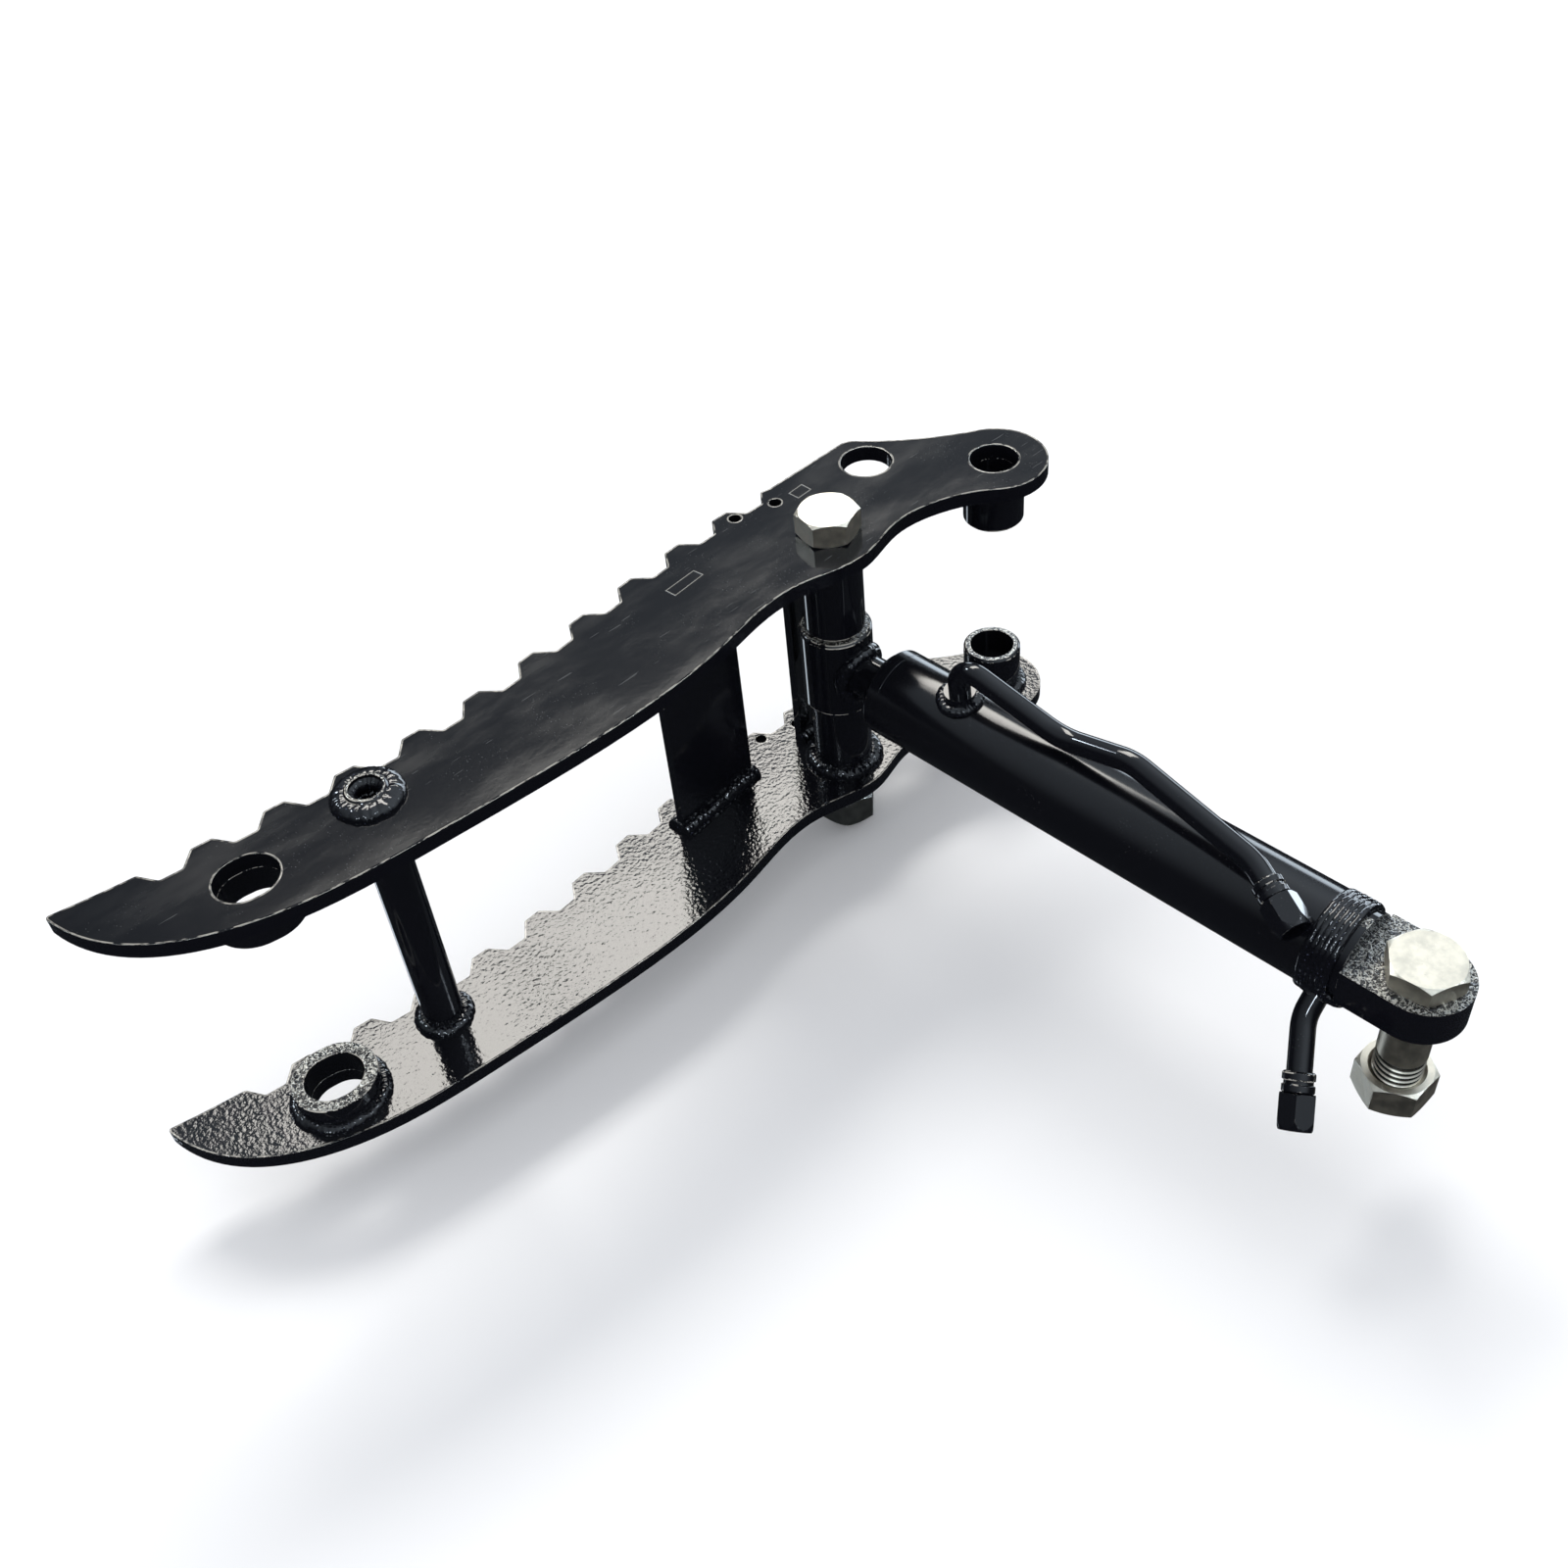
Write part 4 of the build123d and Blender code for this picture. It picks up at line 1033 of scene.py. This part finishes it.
class THUMB_OT_bolts(bpy.types.Operator):
    """Finishes the bolts with cut threads, and their nuts"""
    bl_idname = "thumb.bolts"
    bl_label = "Bolts and nuts"

    def execute(self, context):
        build_thread_tree()
        bolts = context.scene.thumb_bolts
        self.threaded("pivot_bolt", "frame", ROD_PIVOT, PIVOT_BOLT_RADIUS,
                      bolts.pivot_thread, bolts.pivot_pitch)
        self.threaded("base_bolt", "base_fastener", BASE_PIVOT, BASE_BOLT_RADIUS,
                      bolts.base_thread, bolts.base_pitch)
        width = context.scene.thumb_paint.small_rounding
        rounded_piece("pivot_nut", "frame", width, "pivot_nut_zinc", HEXAGON_EDGE_ANGLE)
        rounded_piece("base_nut", "base_fastener", width, "base_nut_zinc",
                      HEXAGON_EDGE_ANGLE)
        return {"FINISHED"}

    def threaded(self, node, body, axis, radius, length, pitch):
        """Cuts the plain end off a bolt's copy and puts a threaded end in its place."""
        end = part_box(node)[0].z
        start = end + length
        made = merged_copy(node)
        cut = bmesh.ops.bisect_plane(made, geom=made.verts[:] + made.edges[:] + made.faces[:],
                                     plane_co=(0, 0, start), plane_no=(0, 0, 1), clear_inner=True)
        rim = [item for item in cut["geom_cut"] if isinstance(item, bmesh.types.BMEdge)]
        bmesh.ops.contextual_create(made, geom=rim)
        round_edges(made, bpy.context.scene.thumb_paint.small_rounding, HEXAGON_EDGE_ANGLE)
        root = radius - THREAD_ROOT * pitch
        profile = [(0, start + BOLT_LAP), (root, start + BOLT_LAP), (root, start),
                   (root, end + CHAMFER_HEIGHT), (root - CHAMFER_WIDTH, end), (0, end)]
        self.lathe(made, profile, axis)
        thread = grown("screw_thread", path_mesh([Vector(), Vector((0, 0, MM))], False), node + "_ridge",
                       radius=radius, pitch=pitch, length=length - THREAD_FREE * pitch,
                       finish=material(node + "_zinc"))
        thread.transform(Matrix.Translation((axis.x, axis.y, end + THREAD_FOOT * pitch)))
        made.from_mesh(thread)
        keep_piece(finished_mesh(made, node + "_threaded"), node + "_threaded", body, [node],
                   node + "_zinc")

    def lathe(self, made, profile, axis):
        """Turns a profile of radii and heights round a bolt's axis."""
        rows = []
        for radius, height in profile:
            if radius == 0:
                rows.append([made.verts.new((axis.x, axis.y, height))])
            else:
                rows.append([made.verts.new((axis.x + p.x, axis.y + p.y, height))
                             for p in ring(radius, LATHE_STEPS)])
        for upper, lower in zip(rows, rows[1:]):
            for i in range(LATHE_STEPS):
                j = (i + 1) % LATHE_STEPS
                corners = [upper[i % len(upper)], lower[i % len(lower)], lower[j % len(lower)],
                           upper[j % len(upper)]]
                made.faces.new(list(dict.fromkeys(corners)))


# The photograph's camera, in metres, pixels and degrees.
PICTURE_WIDTH = 1600
FOCAL_LENGTH = 1721.7
CAMERA_PLACE = (0.7004, 0.6095, 0.7192)
CAMERA_AHEAD = (-0.453, -0.555, -0.697)
CAMERA_ROLL = -6.185

# The large softbox faces the origin. Its short side is square to the two ways after its place.
WINDOW_PLACE = (-1.86, -3.175, 4.523)
WINDOW_ALONG = (0.926, -0.284, 0.247)
WINDOW_INWARD = (0.368, 0.544, -0.754)
WINDOW_WIDTH = 3.6
WINDOW_HEIGHT = 1.35
WINDOW_COLOUR = (1.0, 0.965, 0.9)

# The floor lies this far below the thumb and reaches this far to each side.
FLOOR_GAP = 0.5 * MM
FLOOR_HALF_SIZE = 6

# The reflected sky: its colour, the light of its ground, and the side on which it is brighter.
SKY_COLOUR = (0.78, 0.89, 1.0, 1)
GROUND_LIGHT = 0.03
BRIGHT_SIDE = (-0.7744, 0.6327, 0)

# Cards in the reflected sky: direction, half width and half height in degrees, which light, and its share.
SKY_CARDS = (
    ((-0.93, -0.36, 0.10), 34, 9, "horizon", 0.85),
    ((0.15, -0.72, -0.64), 4, 12, "horizon", 0.5),
    ((-0.94, -0.05, -0.33), 6, 5, "horizon", 0.9),
    ((-0.35, 0.55, 0.76), 3, 3, "glint", 1.0),
    ((0.70, 0.35, 0.62), 3, 3, "glint", 1.0),
    ((0.25, -0.75, 0.62), 4, 3, "glint", 1.0),
    ((-0.95, 0.15, 0.30), 3, 3, "glint", 0.3),
    ((0.55, 0.80, 0.25), 3, 3, "glint", 0.3),
)


class THUMB_OT_studio(bpy.types.Operator):
    """Sets the floor, the lights, the background and the camera"""
    bl_idname = "thumb.studio"
    bl_label = "Studio"

    def execute(self, context):
        self.lay_floor(context.scene.thumb_studio)
        self.light_world(context.scene)
        self.hang_window(context.scene.thumb_studio)
        self.place_camera(context.scene)
        context.scene.view_settings.view_transform = "Standard"
        return {"FINISHED"}

    def lay_floor(self, studio):
        """A pale floor that shows in no reflection."""
        low = CAD_BOX[0].z - FLOOR_GAP
        half = FLOOR_HALF_SIZE
        corners = [(-half, -half, low), (half, -half, low), (half, half, low), (-half, half, low)]
        mesh = bpy.data.meshes.new("studio_floor")
        mesh.from_pydata(corners, [], [(0, 1, 2, 3)])
        floor = bpy.data.objects.new("studio_floor", mesh)
        bpy.context.scene.collection.objects.link(floor)
        shader = new_material("studio_floor")[1]
        shader.inputs["Base Color"].default_value = (*studio.floor, 1)
        shader.inputs["Roughness"].default_value = 0.9
        shader.inputs["Specular IOR Level"].default_value = 0.0
        mesh.materials.append(bpy.data.materials["studio_floor"])
        floor.visible_glossy = False

    def light_world(self, scene):
        """White to the camera, plain light on the pieces, and a scene of cards in their reflections."""
        studio = scene.thumb_studio
        world = bpy.data.worlds.new("studio")
        scene.world = world
        world.use_nodes = True
        tree = world.node_tree
        tree.nodes.clear()
        path = add(tree, "ShaderNodeLightPath").outputs
        plain = add(tree, "ShaderNodeBackground", {"Color": (1, 1, 1, 1), "Strength": studio.surround})
        seen = add(tree, "ShaderNodeBackground", {"Color": (*studio.background, 1), "Strength": 1.0})
        mirrored = add(tree, "ShaderNodeBackground", {
            "Color": SKY_COLOUR, "Strength": self.mirrored_sky(tree, studio)})
        first = add(tree, "ShaderNodeMixShader", {0: path["Is Glossy Ray"], 1: plain.outputs[0],
                                                  2: mirrored.outputs[0]})
        second = add(tree, "ShaderNodeMixShader", {0: path["Is Camera Ray"], 1: first.outputs[0],
                                                   2: seen.outputs[0]})
        out = add(tree, "ShaderNodeOutputWorld")
        tree.links.new(second.outputs[0], out.inputs["Surface"])

    def mirrored_sky(self, tree, studio):
        """Dark ground, a sky that brightens upwards, a low bright band and small bright cards."""
        way = add(tree, "ShaderNodeTexCoord").outputs["Generated"]
        height = add(tree, "ShaderNodeSeparateXYZ", {0: way}).outputs[2]
        sideways = self.share_along(tree, way, BRIGHT_SIDE)
        sky = step_between(tree, height, 0.05, 0.85)
        side = calc(tree, "MULTIPLY_ADD", step_between(tree, sideways, -0.7, 0.7), 0.9, 0.5)
        total = calc(tree, "MULTIPLY_ADD", sky, side, GROUND_LIGHT)
        for centre, half_width, half_height, level, share in SKY_CARDS:
            card = self.sky_card(tree, way, centre, half_width, half_height)
            total = calc(tree, "MULTIPLY_ADD", card, share * getattr(studio, level), total)
        return total

    def share_along(self, tree, way, axis):
        """How much of a direction points along an axis."""
        made = add(tree, "ShaderNodeVectorMath", {0: way, 1: axis}, operation="DOT_PRODUCT")
        return made.outputs["Value"]

    def sky_card(self, tree, way, centre, half_width, half_height):
        """A mask that is 1 inside a rectangle of the sky, given by its centre and half angles."""
        centre = Vector(centre).normalized()
        across = centre.cross(Vector((0, 0, 1))).normalized()
        ahead = self.share_along(tree, way, centre)
        mask = calc(tree, "GREATER_THAN", ahead, 0.01)
        for axis, half in ((across, half_width), (across.cross(centre), half_height)):
            reach = calc(tree, "ABSOLUTE", calc(tree, "DIVIDE", self.share_along(tree, way, axis), ahead))
            limit = tan(radians(half))
            inside = calc(tree, "SUBTRACT", 1.0, step_between(tree, reach, 0.8 * limit, limit))
            mask = calc(tree, "MULTIPLY", mask, inside)
        return mask

    def hang_window(self, studio):
        """One large softbox, tilted as the thumb lies, that the inside of the lower plate mirrors."""
        lamp = bpy.data.lights.new("window_softbox", "AREA")
        lamp.shape = "RECTANGLE"
        lamp.size, lamp.size_y = WINDOW_WIDTH, WINDOW_HEIGHT
        lamp.energy = studio.window * pi * WINDOW_WIDTH * WINDOW_HEIGHT
        lamp.color = WINDOW_COLOUR
        holder = bpy.data.objects.new("window_softbox", lamp)
        back = Vector(WINDOW_PLACE).normalized()
        upward = Vector(WINDOW_INWARD).cross(Vector(WINDOW_ALONG).normalized())
        across = upward.cross(back).normalized()
        holder.matrix_world = Matrix.Translation(WINDOW_PLACE) @ Matrix(
            (across, back.cross(across), back)).transposed().to_4x4()
        holder.visible_camera = False
        bpy.context.scene.collection.objects.link(holder)

    def place_camera(self, scene):
        """Puts the camera where the photograph was taken from."""
        ahead = Vector(CAMERA_AHEAD).normalized()
        level = ahead.cross(Vector((0, 0, 1))).normalized()
        upright = level.cross(ahead)
        roll = radians(CAMERA_ROLL)
        right = level * cos(roll) + upright * sin(roll)
        up = right.cross(ahead)
        camera = bpy.data.cameras.new("camera")
        camera.sensor_width = 36.0
        camera.lens = FOCAL_LENGTH / PICTURE_WIDTH * camera.sensor_width
        camera.clip_start, camera.clip_end = 0.01, 50.0
        holder = bpy.data.objects.new("camera", camera)
        holder.matrix_world = Matrix.Translation(CAMERA_PLACE) @ Matrix(
            (right, up, -ahead)).transposed().to_4x4()
        scene.collection.objects.link(holder)
        scene.camera = holder


class THUMB_PT_panel(bpy.types.Panel):
    """Lists the sizes, the colours and the pieces"""
    bl_idname = "THUMB_PT_panel"
    bl_label = "Excavator Thumb"
    bl_space_type = "VIEW_3D"
    bl_region_type = "UI"
    bl_category = "Thumb"

    def draw(self, context):
        for key in SETTINGS:
            box = self.layout.box()
            values = getattr(context.scene, key)
            for name in values.__annotations__:
                box.prop(values, name)
        for operator in OPERATORS:
            self.layout.operator(operator.bl_idname)


SETTINGS = {"thumb_paint": ThumbPaint, "thumb_welds": ThumbWelds, "thumb_bolts": ThumbBolts,
            "thumb_studio": ThumbStudio}
OPERATORS = (THUMB_OT_plates, THUMB_OT_spreaders, THUMB_OT_cylinder, THUMB_OT_welds, THUMB_OT_bolts,
             THUMB_OT_studio)


def register():
    for kind in (*SETTINGS.values(), *OPERATORS, THUMB_PT_panel):
        bpy.utils.register_class(kind)
    for key, kind in SETTINGS.items():
        setattr(bpy.types.Scene, key, PointerProperty(type=kind))


def unregister():
    for key in SETTINGS:
        delattr(bpy.types.Scene, key)
    for kind in reversed((*SETTINGS.values(), *OPERATORS, THUMB_PT_panel)):
        bpy.utils.unregister_class(kind)


def main():
    register()
    for build in (build_peel_group, build_dust_group, build_wear_group, build_zinc_group):
        build()
    bpy.ops.thumb.plates()
    bpy.ops.thumb.spreaders()
    bpy.ops.thumb.cylinder()
    bpy.ops.thumb.welds()
    bpy.ops.thumb.bolts()
    bpy.ops.thumb.studio()


if __name__ == "__main__":
    main()
